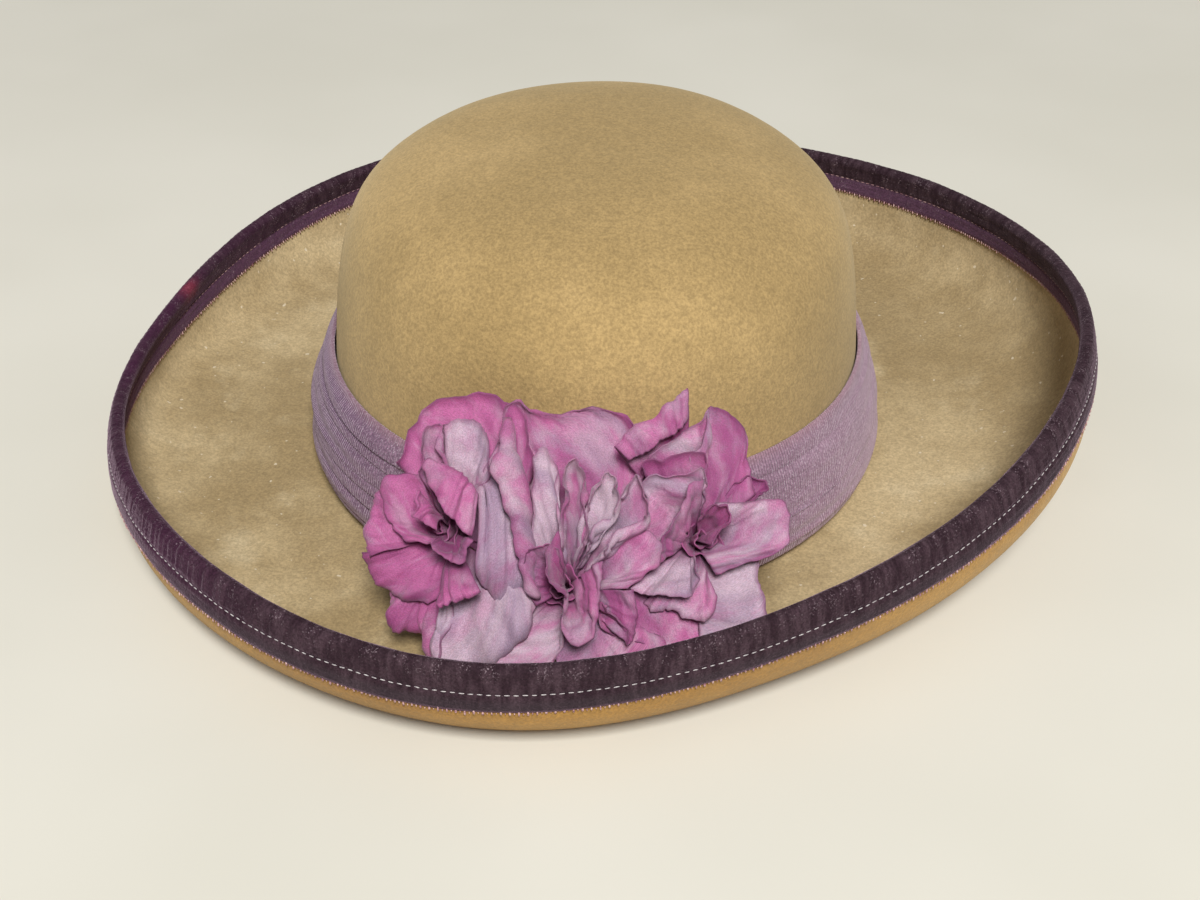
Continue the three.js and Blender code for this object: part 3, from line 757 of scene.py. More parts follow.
def velvet_material():
    """Aubergine velvet with a crushed pile, rubbed toward violet at one side and red at one spot, with pale
    specks near the fold that are partly rubbed pile and partly painted glints on the pucker crests.
    """
    look = Look("velvet", Sheen_Weight=0.45, Sheen_Roughness=0.3, Specular_IOR_Level=0.1,
                Sheen_Tint=srgb(196, 170, 190))
    place = look.place()
    ring = look.attribute("ring", "Vector")
    across = look.part(ring, "Z")
    streaks = look.noise(look.stretched(ring, (1, 1, 0.25)), 420, 3, 0.6)
    pile = look.noise(place, 1500, 2, 0.7)
    cloud = look.noise(place, 22, 3, 0.5)
    violet = look.times(look.attribute("violet"), look.between(cloud, 0.3, 0.7, 0.35, 1.0))
    # Bands of pale specks near the fold: partly rubbed pile, partly painted glints on the pucker crests
    rubbed_glint_bands = look.between(look.noise(look.stretched(ring, (1, 1, 0.5)), 260, 3, 0.65), 0.45, 0.6)
    crest = look.times(look.between(across, -7 * MM, -2 * MM, 0.15, 1.0), rubbed_glint_bands)
    speck = look.between(look.noise(place, 1700, 2, 0.6), 0.56, 0.68, 0.0, 0.4)
    colour = look.layered(
        srgb(46, 31, 39),
        (look.between(streaks, 0.35, 0.7), srgb(70, 54, 62)),
        (violet, srgb(70, 30, 62)),
        (look.attribute("faded"), srgb(142, 58, 74)),
        (look.attribute("selvage"), srgb(122, 84, 108)),
        (look.between(across, -13.5 * MM, -10.5 * MM, 0.5, 0.0), srgb(62, 54, 60)),
        (look.between(across, 8.5 * MM, 11.5 * MM, 0.0, 0.5), srgb(112, 78, 108)),
        # Pale specks: partly rubbed pile, partly painted glints
        (look.times(crest, speck), srgb(176, 158, 168)),
    )
    colour = look.grained(colour, look.between(pile, 0.3, 0.7, 0.72, 1.25))
    normal = look.bump(pile, 0.0003, 0.9, look.bump(streaks, 0.0004, 0.6))
    return look.finish(colour, look.between(streaks, 0.3, 0.7, 0.75, 0.95), normal)


def chiffon_material():
    """Mauve chiffon: a fine open weave, rosier where one layer lets the felt through, with painted glints
    for its sparkle, painted shade on the hat's left side, a painted highlight on its right, and painted
    shade in the pleats' creases and the rib hollows.
    """
    look = Look("chiffon", Sheen_Weight=0.5, Sheen_Roughness=0.4, Specular_IOR_Level=0.3,
                Sheen_Tint=srgb(220, 205, 220))
    ring = look.attribute("ring", "Vector")
    aside = look.part(ring, "X")
    thread = look.noise(look.stretched(ring, (1, 1, 0.3)), 900, 2, 0.6)
    weave = look.noise(ring, 1400, 2, 0.7)
    cloud = look.noise(ring, 30, 3, 0.5)
    colour = look.mix(look.between(cloud, 0.35, 0.65), srgb(158, 126, 149), srgb(178, 150, 171))
    wander = look.times(look.noise(ring, 120, 2, 0.5), 3.0)
    turns = look.times(look.attribute("around"), FULL_TURN / CHIFFON_RIB)
    rib = look.both("SINE", look.both("ADD", turns, wander), 0.0)
    clear = look.between(look.noise(ring, 45, 2, 0.5), 0.4, 0.6, 0.25, 1.0)
    colour = look.layered(
        look.mix(look.between(weave, 0.42, 0.66), srgb(112, 86, 106), colour),
        # Painted glints: pale specks that stand in for the weave's sparkle
        (look.between(look.noise(ring, 1900, 1, 0.5), 0.66, 0.74, 0, 0.8), srgb(208, 196, 210)),
        # Painted shade over the hat's left side and a painted highlight over its right, as light falls from
        # the right
        (look.between(aside, -30 * MM, -95 * MM, 0.0, 0.75), srgb(92, 64, 100)),
        (look.between(aside, 30 * MM, 90 * MM, 0.0, 0.35), srgb(192, 158, 180)),
        (look.attribute("sheer"), srgb(160, 122, 128)),
        # Painted shade along the pleats' creases, where each pleat folds under the next
        (look.attribute("crease"), srgb(78, 48, 72)),
        # Painted shade in the hollows of the fine rib
        (look.times(clear, look.between(rib, -1.0, 0.2, 0.4, 0.0)), srgb(92, 66, 88)),
    )
    cloth = look.both("ADD", look.times(thread, 0.6), look.times(weave, 0.4))
    normal = look.bump(cloth, 0.0007, 0.8, look.bump(rib, 0.00012, 0.8))
    return look.finish(colour, look.between(weave, 0.3, 0.7, 0.5, 0.8), normal)


def silk_material():
    """Dyed silk petals: pink running to lavender grey, with painted highlight streaks and patches of painted
    shade, deeper at the foot partly from rose dye and partly from painted shade, and thin dark edges that
    are partly the dyed cut and partly painted shade.
    """
    look = Look("petal_silk", Sheen_Weight=0.18, Sheen_Roughness=0.35, Specular_IOR_Level=0.3,
                Sheen_Tint=srgb(240, 215, 235), Subsurface_Weight=0.05, Subsurface_Scale=0.003)
    petal = look.attribute("petal", "Vector")
    edge = look.attribute("edge")
    cloud = look.noise(petal, 90, 4, 0.6)
    streak = look.noise(look.stretched(petal, (1, 0.22, 1)), 260, 4, 0.65)
    share = look.both("ADD", look.attribute("dye"), look.between(cloud, 0.3, 0.7, -0.38, 0.38))
    share = look.between(share, 0.0, 1.0)
    # Painted shade: darker magenta over the pink and grey over the lavender, in patches that stand in for
    # shade in the soft folds
    shade = look.noise(look.stretched(petal, (1, 0.6, 1)), 55, 3, 0.55)
    shaded = look.mix(share, srgb(138, 66, 116), srgb(144, 120, 148))
    # Deeper colour toward each petal's foot: partly the petal's deep rose dye, partly painted shade where
    # the petals crowd together
    deep = look.times(look.attribute("foot"), look.between(streak, 0.3, 0.7, 0.6, 1.0))
    colour = look.layered(
        srgb(184, 100, 152),
        (share, srgb(186, 162, 180)),
        # Painted highlight: pale streaks along the petal that stand in for the silk's sheen
        (look.between(streak, 0.5, 0.74, 0, 0.3), srgb(214, 184, 210)),
        (look.between(shade, 0.42, 0.68, 0.0, 0.75), shaded),
        (deep, srgb(112, 38, 90)),
    )
    thread = look.noise(petal, 2400, 2, 0.7)
    colour = look.grained(colour, look.between(thread, 0.3, 0.7, 0.76, 1.22))
    # Darker toward the rims: partly the dyed cut edges, partly painted shade in the gaps along them
    edge_dye_and_shade = look.between(look.noise(petal, 120, 2, 0.6), 0.35, 0.65, 0.15, 0.6)
    colour = look.layered(
        colour,
        (look.between(edge, 0.0, 1.8, 0.45, 0.0), srgb(142, 78, 122)),
        (look.times(edge_dye_and_shade, look.between(edge, 0.1, 0.5, 1.0, 0.0)), srgb(84, 42, 72)),
    )
    normal = look.bump(thread, 0.0002, 0.8, look.bump(streak, 0.0005, 0.35))
    return look.finish(colour, look.between(thread, 0.3, 0.7, 0.45, 0.7), normal)


def thread_material():
    """Pale machine thread with its twist."""
    look = Look("thread", Specular_IOR_Level=0.3)
    twist = look.noise(look.place(), 2600, 2, 0.6)
    colour = look.mix(look.between(twist, 0.35, 0.65), srgb(150, 142, 148), srgb(206, 202, 204))
    return look.finish(colour, look.between(twist, 0.3, 0.7, 0.55, 0.8), look.bump(twist, 0.0001, 0.8))


def picot_material():
    """The ribbon's woven selvage, a rosy mauve."""
    look = Look("selvage", Specular_IOR_Level=0.25)
    fibre = look.noise(look.place(), 1300, 2, 0.7)
    colour = look.mix(look.between(fibre, 0.35, 0.65), srgb(146, 100, 112), srgb(214, 182, 178))
    return look.finish(colour, look.between(fibre, 0.3, 0.7, 0.6, 0.9), look.bump(fibre, 0.00015, 0.8))


def floor_material():
    """A plain pale floor with the faintest mottle."""
    look = Look("floor", Specular_IOR_Level=0.2)
    mottle = look.noise(look.place(), 5, 3, 0.5)
    colour = look.mix(look.between(mottle, 0.3, 0.7), srgb(214, 213, 203), srgb(220, 219, 210))
    return look.finish(colour, look.between(mottle, 0.3, 0.7, 0.8, 0.9), look.bump(mottle, 0.0005, 0.2))


# Pieces

def make_felt(material):
    """Crown and brim in one, both faces, with the edge rounded under the ribbon."""
    angles = round_angles(FELT_COLUMNS)
    crown = evenly(crown_lines(angles), DOME_ROWS)
    brim = evenly(brim_lines(angles), BRIM_ROWS)
    middle = np.concatenate([crown, foot_lines(angles), brim], axis=1)
    left = sideways(middle)
    half = FELT_THICKNESS / 2
    outside = middle + left * half
    inside = (middle - left * half)[:, ::-1]
    end = middle[:, -1:] - left_of(left[:, -1:]) * half
    sections = np.concatenate([outside, end, inside], axis=1)
    rows = sections.shape[1] - 2
    points = placed(sections[:, 1:-1], angles).reshape(-1, 3)
    top = len(points)
    poles = np.array([[0, 0, sections[0, 0, 1]], [0, 0, sections[0, -1, 1]]]) + AXIS_PLACE
    faces = loop_faces(FELT_COLUMNS, rows, False)
    for i in range(FELT_COLUMNS):
        after = (i + 1) % FELT_COLUMNS
        faces.append((top, i * rows, after * rows))
        faces.append((top + 1, (after + 1) * rows - 1, (i + 1) * rows - 1))
    row = np.arange(rows)
    from_top = np.minimum(row, rows - 1 - row)
    on_brim = smooth(crown.shape[1] - 3, crown.shape[1] + FOOT_ROWS, from_top)
    below = row >= outside.shape[1]
    piece = make_piece("felt", np.concatenate([points, poles]), faces, material, "felt",
                       brim=np.append(np.tile(on_brim, FELT_COLUMNS), [0, 0]),
                       under=np.append(np.tile(below, FELT_COLUMNS), [0, 1]))
    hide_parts("felt_body")


def ribbon_surface(angles, across, lift):
    """Points and outward directions on the ribbon, across it from its outer face over the fold."""
    lines = brim_lines(angles)
    length = runs(lines, 1)[:, -1:]
    across = np.broadcast_to(across, (len(angles), np.shape(across)[-1]))
    back = np.maximum(np.abs(across) - QUARTER_TURN * RIBBON_RADIUS, 0)
    probe = 0.5
    inner = at_distances(lines, length - back - probe)
    outer = at_distances(lines, np.minimum(length - back + probe, length))
    along = unit(outer - inner)
    turn = np.clip(across / RIBBON_RADIUS, -QUARTER_TURN, QUARTER_TURN)[..., None]
    outward = along * np.cos(turn) + left_of(along) * np.sin(turn)
    return at_distances(lines, length - back) + outward * (RIBBON_RADIUS + lift[..., None]), outward


def ribbon_relief(angles, across):
    """How far the velvet stands off its plain fold: puckers, the stitched groove and soft lumps."""
    turn = np.radians(angles)[:, None]
    stitches = FULL_TURN * turn * BRIM_REACH.mean() / STITCH_PITCH
    wander = slow_waves(PUCKER_SEED, turn, 0 * across, 40, 1.4)
    pucker = 0.6 * np.sin(stitches + wander) + 0.4 * np.sin(stitches / 1.7 + 2 * wander)
    in_front = 0.35 + 0.65 * smooth(0.2, 0.9, -np.sin(turn))
    above_seam = smooth(-SEAM - 1.3, -SEAM + 1.7, across) * smooth(1.0, -3.0, across)
    groove = np.exp(-((np.abs(across) - SEAM) / GROOVE_WIDTH) ** 2)
    hem = smooth(RIBBON_REACH - HEM_WIDTH, RIBBON_REACH, np.abs(across))
    lumps = slow_waves(LUMP_SEED, turn, across / 3, 60, LUMP_HEIGHT)
    return PUCKER_DEPTH * in_front * pucker * above_seam - GROOVE_DEPTH * groove - HEM_DEPTH * hem + lumps


def make_binding(material, thread, picot):
    """The velvet ribbon folded over the brim's edge, its stitches and its jagged selvage."""
    angles = round_angles(RIBBON_COLUMNS, 90)
    outward = np.linspace(RIBBON_REACH, -RIBBON_REACH, RIBBON_ROWS)
    homeward = np.linspace(-RIBBON_REACH, RIBBON_REACH, RIBBON_BACK_ROWS)
    outer, _ = ribbon_surface(angles, outward, ribbon_relief(angles, outward[None, :]))
    inner, _ = ribbon_surface(angles, homeward, np.full((1, 1), -VELVET_THICKNESS))
    sections = np.concatenate([outer, inner], axis=1)
    across = np.concatenate([outward, homeward])[None, :]
    degrees = angles[:, None] % 360
    violet = 0.9 * smooth(VIOLET_WIDTH, 10, np.abs(degrees - VIOLET_AT))
    violet = violet + 0.25 * smooth(VIOLET_WIDTH, 0, np.abs(degrees - FAINT_VIOLET_AT))
    spot = np.exp(-((degrees - FADED_AT) / FADED_WIDTH) ** 2)
    spot = spot * smooth(-3, 0, across) * smooth(8, 3, across)
    piece = make_piece("velvet_binding", placed(sections, angles),
                       loop_faces(RIBBON_COLUMNS, sections.shape[1], True), material, "velvet",
                       ring=ring_place(np.radians(angles)[:, None], BRIM_REACH.mean(), across),
                       violet=violet, faded=0.6 * spot,
                       selvage=smooth(RIBBON_REACH - 1.0, RIBBON_REACH - 0.2, np.abs(across)))
    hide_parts("brim_binding")
    around = edge_run(angles)[-1]
    make_stitches(around, thread, picot)


def ribbon_frames(count, across, lift):
    """Places on the ribbon at equal distances round the edge: centres, directions along and aside."""
    fine = round_angles(EDGE_SAMPLES)
    run = edge_run(fine)
    wanted = (np.arange(count) + 0.5) * run[-1] / count
    angles = np.interp(wanted, run, np.append(fine, 360))
    row = np.array([[across]])
    lifts = ribbon_relief(angles, row) + lift
    section, outward = ribbon_surface(angles, row, lifts)
    probe = 0.2
    ahead = placed(ribbon_surface(angles + probe, row, lifts)[0], angles + probe)
    behind = placed(ribbon_surface(angles - probe, row, lifts)[0], angles - probe)
    direction = unit(ahead - behind)[:, 0]
    side = unit(np.cross(turned(outward, angles)[:, 0], direction))
    return placed(section, angles)[:, 0], direction, side


def make_stitches(around, thread, picot):
    """A row of machine stitches on each face, and the woven teeth along both edges."""
    rng = np.random.default_rng(STITCH_SEED)
    count = round(around / STITCH_PITCH)
    for name, across, lift, width, material in (("outer_stitches", -SEAM, 0.28, 1.0, thread),
                                                ("inner_stitches", SEAM, 0.05, 0.7, picot)):
        centre, direction, side = ribbon_frames(count, across, lift)
        direction = direction + side * rng.normal(0, STITCH_SLANT, (count, 1))
        lengths = STITCH_LENGTH * rng.normal(1, STITCH_UNEVEN, count)
        thick = 2 * STITCH_RADIUS * width
        sizes = stacked(lengths, thick * STITCH_FLATNESS, thick)
        make_piece(name, *ellipsoids(centre, direction, side, sizes), material, "velvet")
    count = round(around / PICOT_PITCH)
    edge = RIBBON_REACH + PICOT_OUT
    for name, across in (("outer_selvage", -edge), ("inner_selvage", edge)):
        centre, direction, side = ribbon_frames(count, across, 0.0)
        centre = centre + side * rng.normal(0, PICOT_STRAY, (count, 1))
        sizes = stacked(*(rng.uniform(low, high, count) for low, high in PICOT_SIZES))
        sizes *= np.where(np.arange(count) % 2, 1.0, PICOT_SMALLER)[:, None]
        make_piece(name, *ellipsoids(centre, direction, side, sizes, 3, 5), picot, "velvet")


def pleat_lines(turn):
    """Where each fold lies across the band, 0 at its top and 1 at its lower edge."""
    lines = [np.zeros_like(turn)]
    for k in range(1, PLEATS):
        wander = slow_waves(PLEAT_SEED + k, turn, 0, 3, PLEAT_WANDER / PLEATS)
        gather = PLEAT_GATHER * (k / PLEATS - 0.5) * np.cos(turn - GATHERED_AT)
        lines.append(k / PLEATS + wander + gather)
    lines.append(np.ones_like(turn))
    return lines


def pleats(turn):
    """Rows of points over the pleats: how far down the band, how far out, and how much painted shade lies in
    each crease.
    """
    lines = pleat_lines(turn)
    step = 1 - (1 - np.arange(PLEAT_ROWS) / PLEAT_ROWS) ** 1.6
    crisp = 0.55 + 0.45 * np.cos(turn - CRISPEST_AT)
    down, relief, crease = [], [], []
    for k in range(PLEATS):
        wide = lines[k + 1] - lines[k]
        uneven = slow_waves(PLEAT_DEPTH_SEED + k, turn, 0, 5, PLEAT_UNEVEN)
        depth = (PLEAT_DEPTH + uneven) * crisp * np.clip(wide * PLEATS, 0.3, 1.6)
        down.append(lines[k] + wide * step)
        relief.append(depth * step ** 0.85 * smooth(1.0, 0.9, step))
        crease.append(crisp * np.exp(-((1 - step) / CREASE_SHARE) ** 2))
    return [np.concatenate(rows, axis=1) for rows in (down, relief, crease)]


def band_base(angles, down):
    """The band's plain outer surface: down runs from the top edge at 0 to its fullest at 1."""
    wall = crown_lines(angles)
    top = at_distances(wall, runs(wall, 1)[:, -1:] - BAND_HEIGHT)
    top_radius = top[..., 0] + FELT_CLEAR
    fullest = foot_oval(angles)[:, None] + BAND_SPREAD
    swell = (fullest - top_radius - BAND_TOP_THICKNESS) * (1 - (1 - down) ** 2)
    radius = top_radius + BAND_TOP_THICKNESS + swell
    height = top[..., 1] + (REST_LEVEL + FELT_CLEAR + BAND_ROLL - top[..., 1]) * down
    return stacked(radius, height)


def all_round(values):
    """Values of the pleats' rows carried over the lip, the lower roll and the inner face."""
    outer = np.pad(values, ((0, 0), (1, BAND_ROLL_ROWS)), mode="edge")
    return np.concatenate([outer, outer[:, ::-1]], axis=1)


def make_band(material):
    """Chiffon gathered round the foot of the crown in long soft pleats that lap downward."""
    angles = round_angles(BAND_COLUMNS, 90)
    turn = np.radians(angles)[:, None]
    down, relief, crease = pleats(turn)
    sag = slow_waves(SAG_SEED, turn, 5 * down, 9, BAND_SAG)
    base = band_base(angles, down)
    outer = base + sideways(base) * (relief + sag)[..., None]
    bend = np.linspace(0, QUARTER_TURN, BAND_ROLL_ROWS)
    radius = foot_oval(angles)[:, None] + BAND_SPREAD - BAND_ROLL + BAND_ROLL * np.cos(bend)
    height = REST_LEVEL + FELT_CLEAR + BAND_ROLL * (1 - np.sin(bend))
    middle = np.concatenate([outer[:, :1] + BAND_LIP, outer, stacked(radius, height)], axis=1)
    inner = (middle - sideways(middle) * CHIFFON_THICKNESS)[:, ::-1]
    sections = np.concatenate([middle, inner], axis=1)
    down = all_round(down)
    piece = make_piece("chiffon_band", placed(sections, angles),
                       loop_faces(BAND_COLUMNS, sections.shape[1], True), material, "chiffon",
                       ring=ring_place(turn, CROWN_HALF_WIDTH + BAND_SPREAD, down * BAND_HEIGHT),
                       sheer=0.4 * smooth(0.1, 0.0, down) + 0.35 * smooth(0.93, 1.0, down),
                       crease=0.8 * all_round(crease), around=turn * (CROWN_HALF_LENGTH + BAND_SPREAD))
    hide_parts("hat_band")


def flower_frame(flower):
    """Base point, outward axis, and right and up directions of a flower as the viewer in front sees it."""
    around = math.radians(flower["around"])
    up = math.radians(flower["up"])
    axis = np.array([math.cos(around) * math.cos(up), math.sin(around) * math.cos(up), math.sin(up)])
    right = np.array([-math.sin(around), math.cos(around), 0.0])
    base = np.array([flower["x"], flower["y"], flower["z"]]) + AXIS_PLACE
    return base, axis, right, np.cross(axis, right)


def round_axis(turn, right, rise):
    """Unit directions round a flower's axis."""
    return np.cos(turn)[..., None] * right + np.sin(turn)[..., None] * rise


def seen_point(x, y, ahead, base):
    """The point that shows at a pixel of the photograph, ahead of a flower's foot toward the camera."""
    right, up, back = camera_frame()
    eye = CAMERA_TARGET + CAMERA_DISTANCE * back
    ray = right * (x - PHOTO_WIDTH / 2) / FOCAL_PIXELS + up * (PHOTO_HEIGHT / 2 - y) / FOCAL_PIXELS - back
    return eye + ray * (np.dot(eye - base, back) - ahead)


def seen_line(points, base, count):
    """A smooth line through points that show at pixels of the photograph."""
    knots = np.array([seen_point(x, y, ahead, base) for x, y, ahead in points])
    run = runs(knots, 0)
    slope = np.gradient(knots, run, axis=0)
    where = np.linspace(0, run[-1], count)
    i = np.clip(np.searchsorted(run, where) - 1, 0, len(run) - 2)
    step = (run[i + 1] - run[i])[:, None]
    t = (where - run[i])[:, None] / step
    return ((1 + 2 * t) * (1 - t) ** 2 * knots[i] + t * (1 - t) ** 2 * step * slope[i]
            + t * t * (3 - 2 * t) * knots[i + 1] + t * t * (t - 1) * step * slope[i + 1])


def plain_petal(flower, petal, v):
    """A petal's smooth middle surface, from its foot over its bow or its fold to its rim."""
    base = flower_frame(flower)[0]
    rim = seen_line(petal["rim"], base, PETAL_ACROSS)
    if petal["over"]:
        over = seen_line(petal["over"], base, PETAL_ACROSS)
    else:
        over = (base + rim) / 2 + petal["bow"] * camera_frame()[2]
    foot = base + PETAL_FOOT * unit(over - base)
    weights = (2 * (v - 0.5) * (v - 1), 4 * v * (1 - v), 2 * v * (v - 0.5))
    return sum(weight[..., None] * line[:, None, :] for weight, line in zip(weights, (foot, over, rim)))


def rolled_rim(grid, v, roll):
    """Curls the last stretch of every lengthwise line back, keeping its length."""
    steps = np.diff(grid, axis=1)
    length = np.linalg.norm(steps, axis=2, keepdims=True)
    share = np.clip((v[0, 1:] - (1 - PETAL_ROLL_SHARE)) / PETAL_ROLL_SHARE, 0, 1)
    bend = (roll * share ** 1.4)[None, :, None]
    moved = length * (unit(steps) * np.cos(bend) + surface_normals(grid)[:, 1:] * np.sin(bend))
    return grid[:, :1] + np.concatenate([np.zeros_like(grid[:, :1]), np.cumsum(moved, axis=1)], axis=1)


def petal_relief(rng, seed, grid, u, v):
    """How far a petal's cloth stands off its smooth surface, and how far its rim is nicked."""
    across = runs(grid, 0)
    along = runs(grid, 1)
    width = across[-1].max()
    crests = width / PETAL_CREST
    phase = rng.uniform(0, FULL_TURN, 3)
    ruffle = smooth(0.2, 1.0, v) ** 1.5
    push = PETAL_RUFFLE * ruffle * np.sin(math.pi * crests * u + phase[0] + np.sin(2 * u + phase[1]))
    push = push + 0.4 * PETAL_RUFFLE * ruffle ** 2 * np.sin(2.3 * math.pi * crests * u + phase[2])
    for _ in range(PETAL_CREASES):
        line = rng.uniform(-0.95, 0.95) + 0.06 * np.sin(4 * v + rng.uniform(0, 6))
        narrow = rng.uniform(*CREASE_WIDTH) / width
        begin = rng.uniform(0, 0.5)
        depth = rng.uniform(-CREASE_DEPTH, CREASE_DEPTH)
        push = push + depth * np.exp(-np.abs((u - line) / narrow) ** 1.5) * smooth(begin, begin + 0.4, v)
    for k, (pitch, height) in enumerate(PETAL_WAVES):
        push = push + free_waves(seed + k + 1, across, along, pitch, height)
    nick = sum(deep * np.sin(fast * crests * u + turn) for (fast, deep), turn in zip(RIM_NICKS, phase[1:]))
    return push, nick * smooth(0.85, 1, v)


def petal_sheet(flower, petal, seed):
    """A petal's middle surface, and how far along it each point is from foot to rim."""
    rng = np.random.default_rng(seed)
    u = np.linspace(-1, 1, PETAL_ACROSS)[:, None]
    eased = np.sin(np.linspace(0, QUARTER_TURN, PETAL_ALONG))
    v = (0.6 * eased + 0.4 * np.linspace(0, 1, PETAL_ALONG))[None, :]
    grid = rolled_rim(plain_petal(flower, petal, v), v, math.radians(rng.uniform(*PETAL_ROLL)))
    push, nick = petal_relief(rng, seed, grid, u, v)
    outward = unit(np.gradient(grid, axis=1))
    grid = grid + surface_normals(grid) * push[..., None] + outward * nick[..., None]
    return clear_of_hat(grid), v


def clear_of_hat(grid):
    """Petal points that would sink into the band, the crown or the brim are laid on them instead."""
    points = grid.reshape(-1, 3) - AXIS_PLACE
    radius = np.hypot(points[:, 0], points[:, 1])
    turn = np.arctan2(points[:, 1], points[:, 0])
    angles = np.degrees(turn)
    height = points[:, 2]
    stand = FELT_THICKNESS / 2 + PETAL_CLEAR
    tall = np.clip(height / CROWN_HEIGHT, 0, 0.999) ** DOME_UPRIGHT
    crown = (foot_oval(angles) - CROWN_TAPER * height) * (1 - tall) ** (1 / DOME_ACROSS)
    banded = BAND_SPREAD * smooth(*BAND_FADE, height)
    radius = np.maximum(radius, crown + stand + banded)
    front = np.arange(*LAID_ARC, 1.0)
    nearest = np.round(np.mod(angles, 360) - front[0]).astype(int)
    lines = brim_lines(front)[np.clip(nearest, 0, len(front) - 1)]
    edge_height, edge_radius = np.array([
        (np.interp(r, np.maximum.accumulate(line[:, 0]), line[:, 1]), np.interp(h, line[:, 1], line[:, 0]))
        for r, h, line in zip(radius, height, lines)]).T
    steep = edge_height > WALL_LIFT
    sunk = (height < edge_height + stand) & (radius < edge_radius + SUNK_WITHIN)
    height = np.where(sunk & ~steep, edge_height + stand, height)
    wall = edge_radius - stand - RIBBON_THICKNESS
    radius = np.where(steep & (radius > wall), wall, radius)
    laid = stacked(radius * np.cos(turn), radius * np.sin(turn), height) + AXIS_PLACE
    return laid.reshape(grid.shape)


def make_petals(material):
    """Every petal as its own ruffled sheet of silk."""
    for seed, petal in enumerate(PETALS):
        node = petal["node"]
        name = node.split("_")[0]
        grid, v = petal_sheet(FLOWERS[name], petal, PETAL_SEED + seed)
        across = runs(grid, 0)
        along = runs(grid, 1)
        edge = np.minimum(np.minimum(across, across[-1:] - across), along[:, -1:] - along)
        cloth = stacked(across, along, DYE_STEP * seed) * MM
        # The larger of painted shade toward the petal's foot and the petal's own deep rose dye
        foot = np.maximum(0.85 * smooth(0.6, 0.1, v), 0.7 * petal["rose"])
        piece = make_plate(f"{node}_silk_{seed + 1}", grid, material, "petal_silk",
                           edge=edge, dye=petal["grey"], foot=foot, petal=cloth)
        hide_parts(node)


def make_buds(material):
    """A strip of silk rolled into the bud in the middle of each flower."""
    u = np.linspace(0, 1, HEART_COLUMNS)[:, None]
    v = np.linspace(0, 1, HEART_ROWS)[None, :]
    for seed, (name, flower) in enumerate(FLOWERS.items()):
        rng = np.random.default_rng(BUD_SEED + seed)
        turn = FULL_TURN * HEART_TURNS * u + rng.uniform(0, 6)
        ruffle = (0.25 + 0.75 * u) * v ** 1.6
        crumple = HEART_RUFFLE * ruffle * np.sin(3.1 * turn + 2 * v) + 0.5 * ruffle * np.sin(7.3 * turn)
        opening = 0.45 + 0.55 * v ** 1.4
        radius = (HEART_CORE + (HEART_RADIUS - HEART_CORE) * u) * opening + crumple
        uneven = HEART_RUFFLE * np.sin(11 * u + rng.uniform(0, 6)) * v
        height = HEART_HEIGHT * v * (1.1 - 0.4 * u) + uneven
        base, axis, right, rise = flower_frame(flower)
        grid = base + radius[..., None] * round_axis(turn, right, rise) + height[..., None] * axis
        length = runs(grid[:, -1], 0)[-1]
        edge = np.minimum((1 - v) * HEART_HEIGHT, np.minimum(u, 1 - u) * length)
        cloth = stacked(u * length, v * HEART_HEIGHT, seed) * MM
        # The bud deepens in colour toward its bottom: painted shade in the flower's hollow, over its deep
        # dye
        piece = make_plate(f"{name}_bud", grid, material, "flower_heart",
                           edge=edge, dye=0.15, foot=0.55 - 0.3 * v, petal=cloth)
        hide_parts(f"{name}_heart")


def make_necks(silk, thread):
    """The silk's ends behind each flower, gathered and bound with thread, that meet the band."""
    turn = np.arange(NECK_FOLDS) * FULL_TURN / NECK_FOLDS
    for name, flower in FLOWERS.items():
        base, axis, right, rise = flower_frame(flower)
        length = flower["neck"] + NECK_INTO_BUD
        middle = base + axis * (NECK_INTO_BUD - length / 2)
        spot = round_axis(turn, right, rise)
        direction = unit(axis + NECK_SPREAD * spot)
        side = unit(np.cross(direction, spot))
        sizes = (length, NECK_FOLD_WIDTH, NECK_FOLD_WIDTH)
        centres = middle + spot * (NECK_RADIUS - NECK_FOLD_WIDTH / 2)
        points, faces = ellipsoids(centres, direction, side, sizes, rings=13, spokes=10)
        piece = make_piece(f"{name}_neck", points, faces, silk, "flower_heart",
                           edge=5, dye=0.3, foot=0.6, petal=points * MM)
        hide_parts(f"{name}_heart")
        around = 2 * (NECK_RADIUS + 2 * STITCH_RADIUS)
        centres = middle - axis * (np.arange(NECK_WRAPS) * NECK_WRAP_PITCH)[:, None]
        sizes = (NECK_WRAP_PITCH, around, around)
        points, faces = ellipsoids(centres, axis, right, sizes, rings=5, spokes=28)
        piece = make_piece(f"{name}_neck_thread", points, faces, thread, "flower_heart")
        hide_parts(f"{name}_heart")


# Floor, camera and light

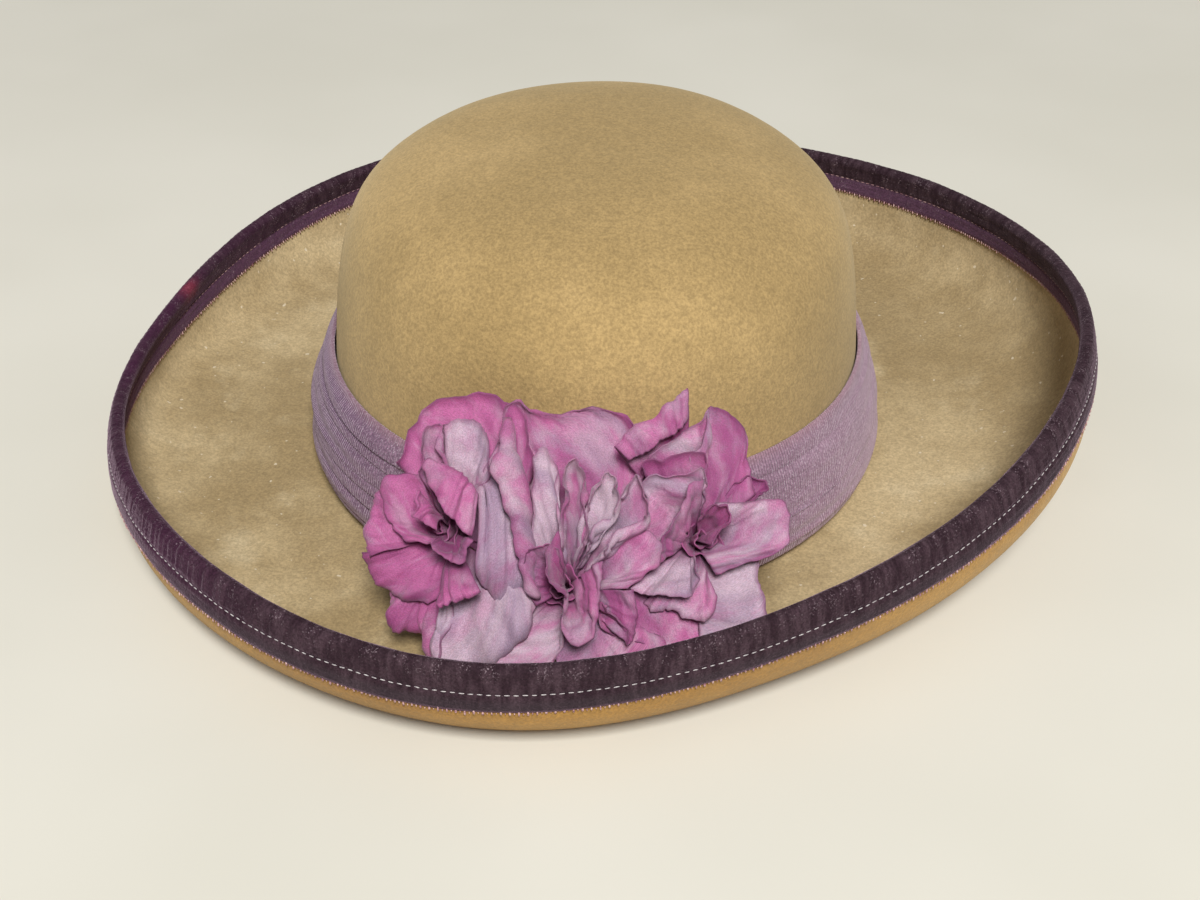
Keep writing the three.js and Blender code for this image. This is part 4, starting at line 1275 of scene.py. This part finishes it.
def make_floor(material):
    """A pale floor that the hat rests on."""
    mesh = bpy.data.meshes.new("floor")
    corners = [(x * FLOOR_HALF, y * FLOOR_HALF, 0) for x, y in ((-1, -1), (1, -1), (1, 1), (-1, 1))]
    mesh.from_pydata(corners, [], [(0, 1, 2, 3)])
    mesh.materials.append(material)
    add_object("floor", mesh)


def aim(thing, place, right, up, back):
    """Puts a camera or light at a place in metres, with its own right, up and back directions."""
    matrix = Matrix.Identity(4)
    for column, direction in enumerate((right, up, back, place)):
        for row in range(3):
            matrix[row][column] = direction[row]
    thing.matrix_world = matrix


def make_camera():
    """The camera where the photograph was taken from."""
    data = bpy.data.cameras.new("camera")
    data.sensor_width = SENSOR
    data.lens = SENSOR * FOCAL_PIXELS / PHOTO_WIDTH
    camera = add_object("camera", data)
    right, up, back = camera_frame()
    aim(camera, (CAMERA_TARGET + CAMERA_DISTANCE * back) * MM, right, up, back)
    bpy.context.scene.camera = camera


def make_light(name, around, up, distance, size, power, colour):
    """A square soft light aimed at the hat: angles in degrees, distance and size in metres."""
    data = bpy.data.lights.new(name, "AREA")
    data.size = size
    data.energy = power
    data.color = colour
    back = toward(math.radians(around), math.radians(up))
    aim(add_object(name, data), back * distance, *level_frame(back), back)


def make_world():
    """Even pale light from all round."""
    world = bpy.data.worlds.new("world")
    bpy.context.scene.world = world
    world.use_nodes = True
    sky = world.node_tree.nodes["Background"]
    sky.inputs["Color"].default_value = WORLD_COLOUR
    sky.inputs["Strength"].default_value = WORLD_LIGHT


make_camera()
make_felt(felt_material())
thread = thread_material()
make_binding(velvet_material(), thread, picot_material())
make_band(chiffon_material())
silk = silk_material()
make_buds(silk)
make_necks(silk, thread)
make_petals(silk)
make_floor(floor_material())
make_light("key", around=16, up=50, distance=3.6, size=0.9, power=148, colour=(1.0, 0.97, 0.93))
make_light("fill", around=-35, up=45, distance=2.0, size=1.2, power=1.5, colour=(0.97, 0.98, 1.0))
make_world()
bpy.context.scene.view_settings.view_transform = "Standard"
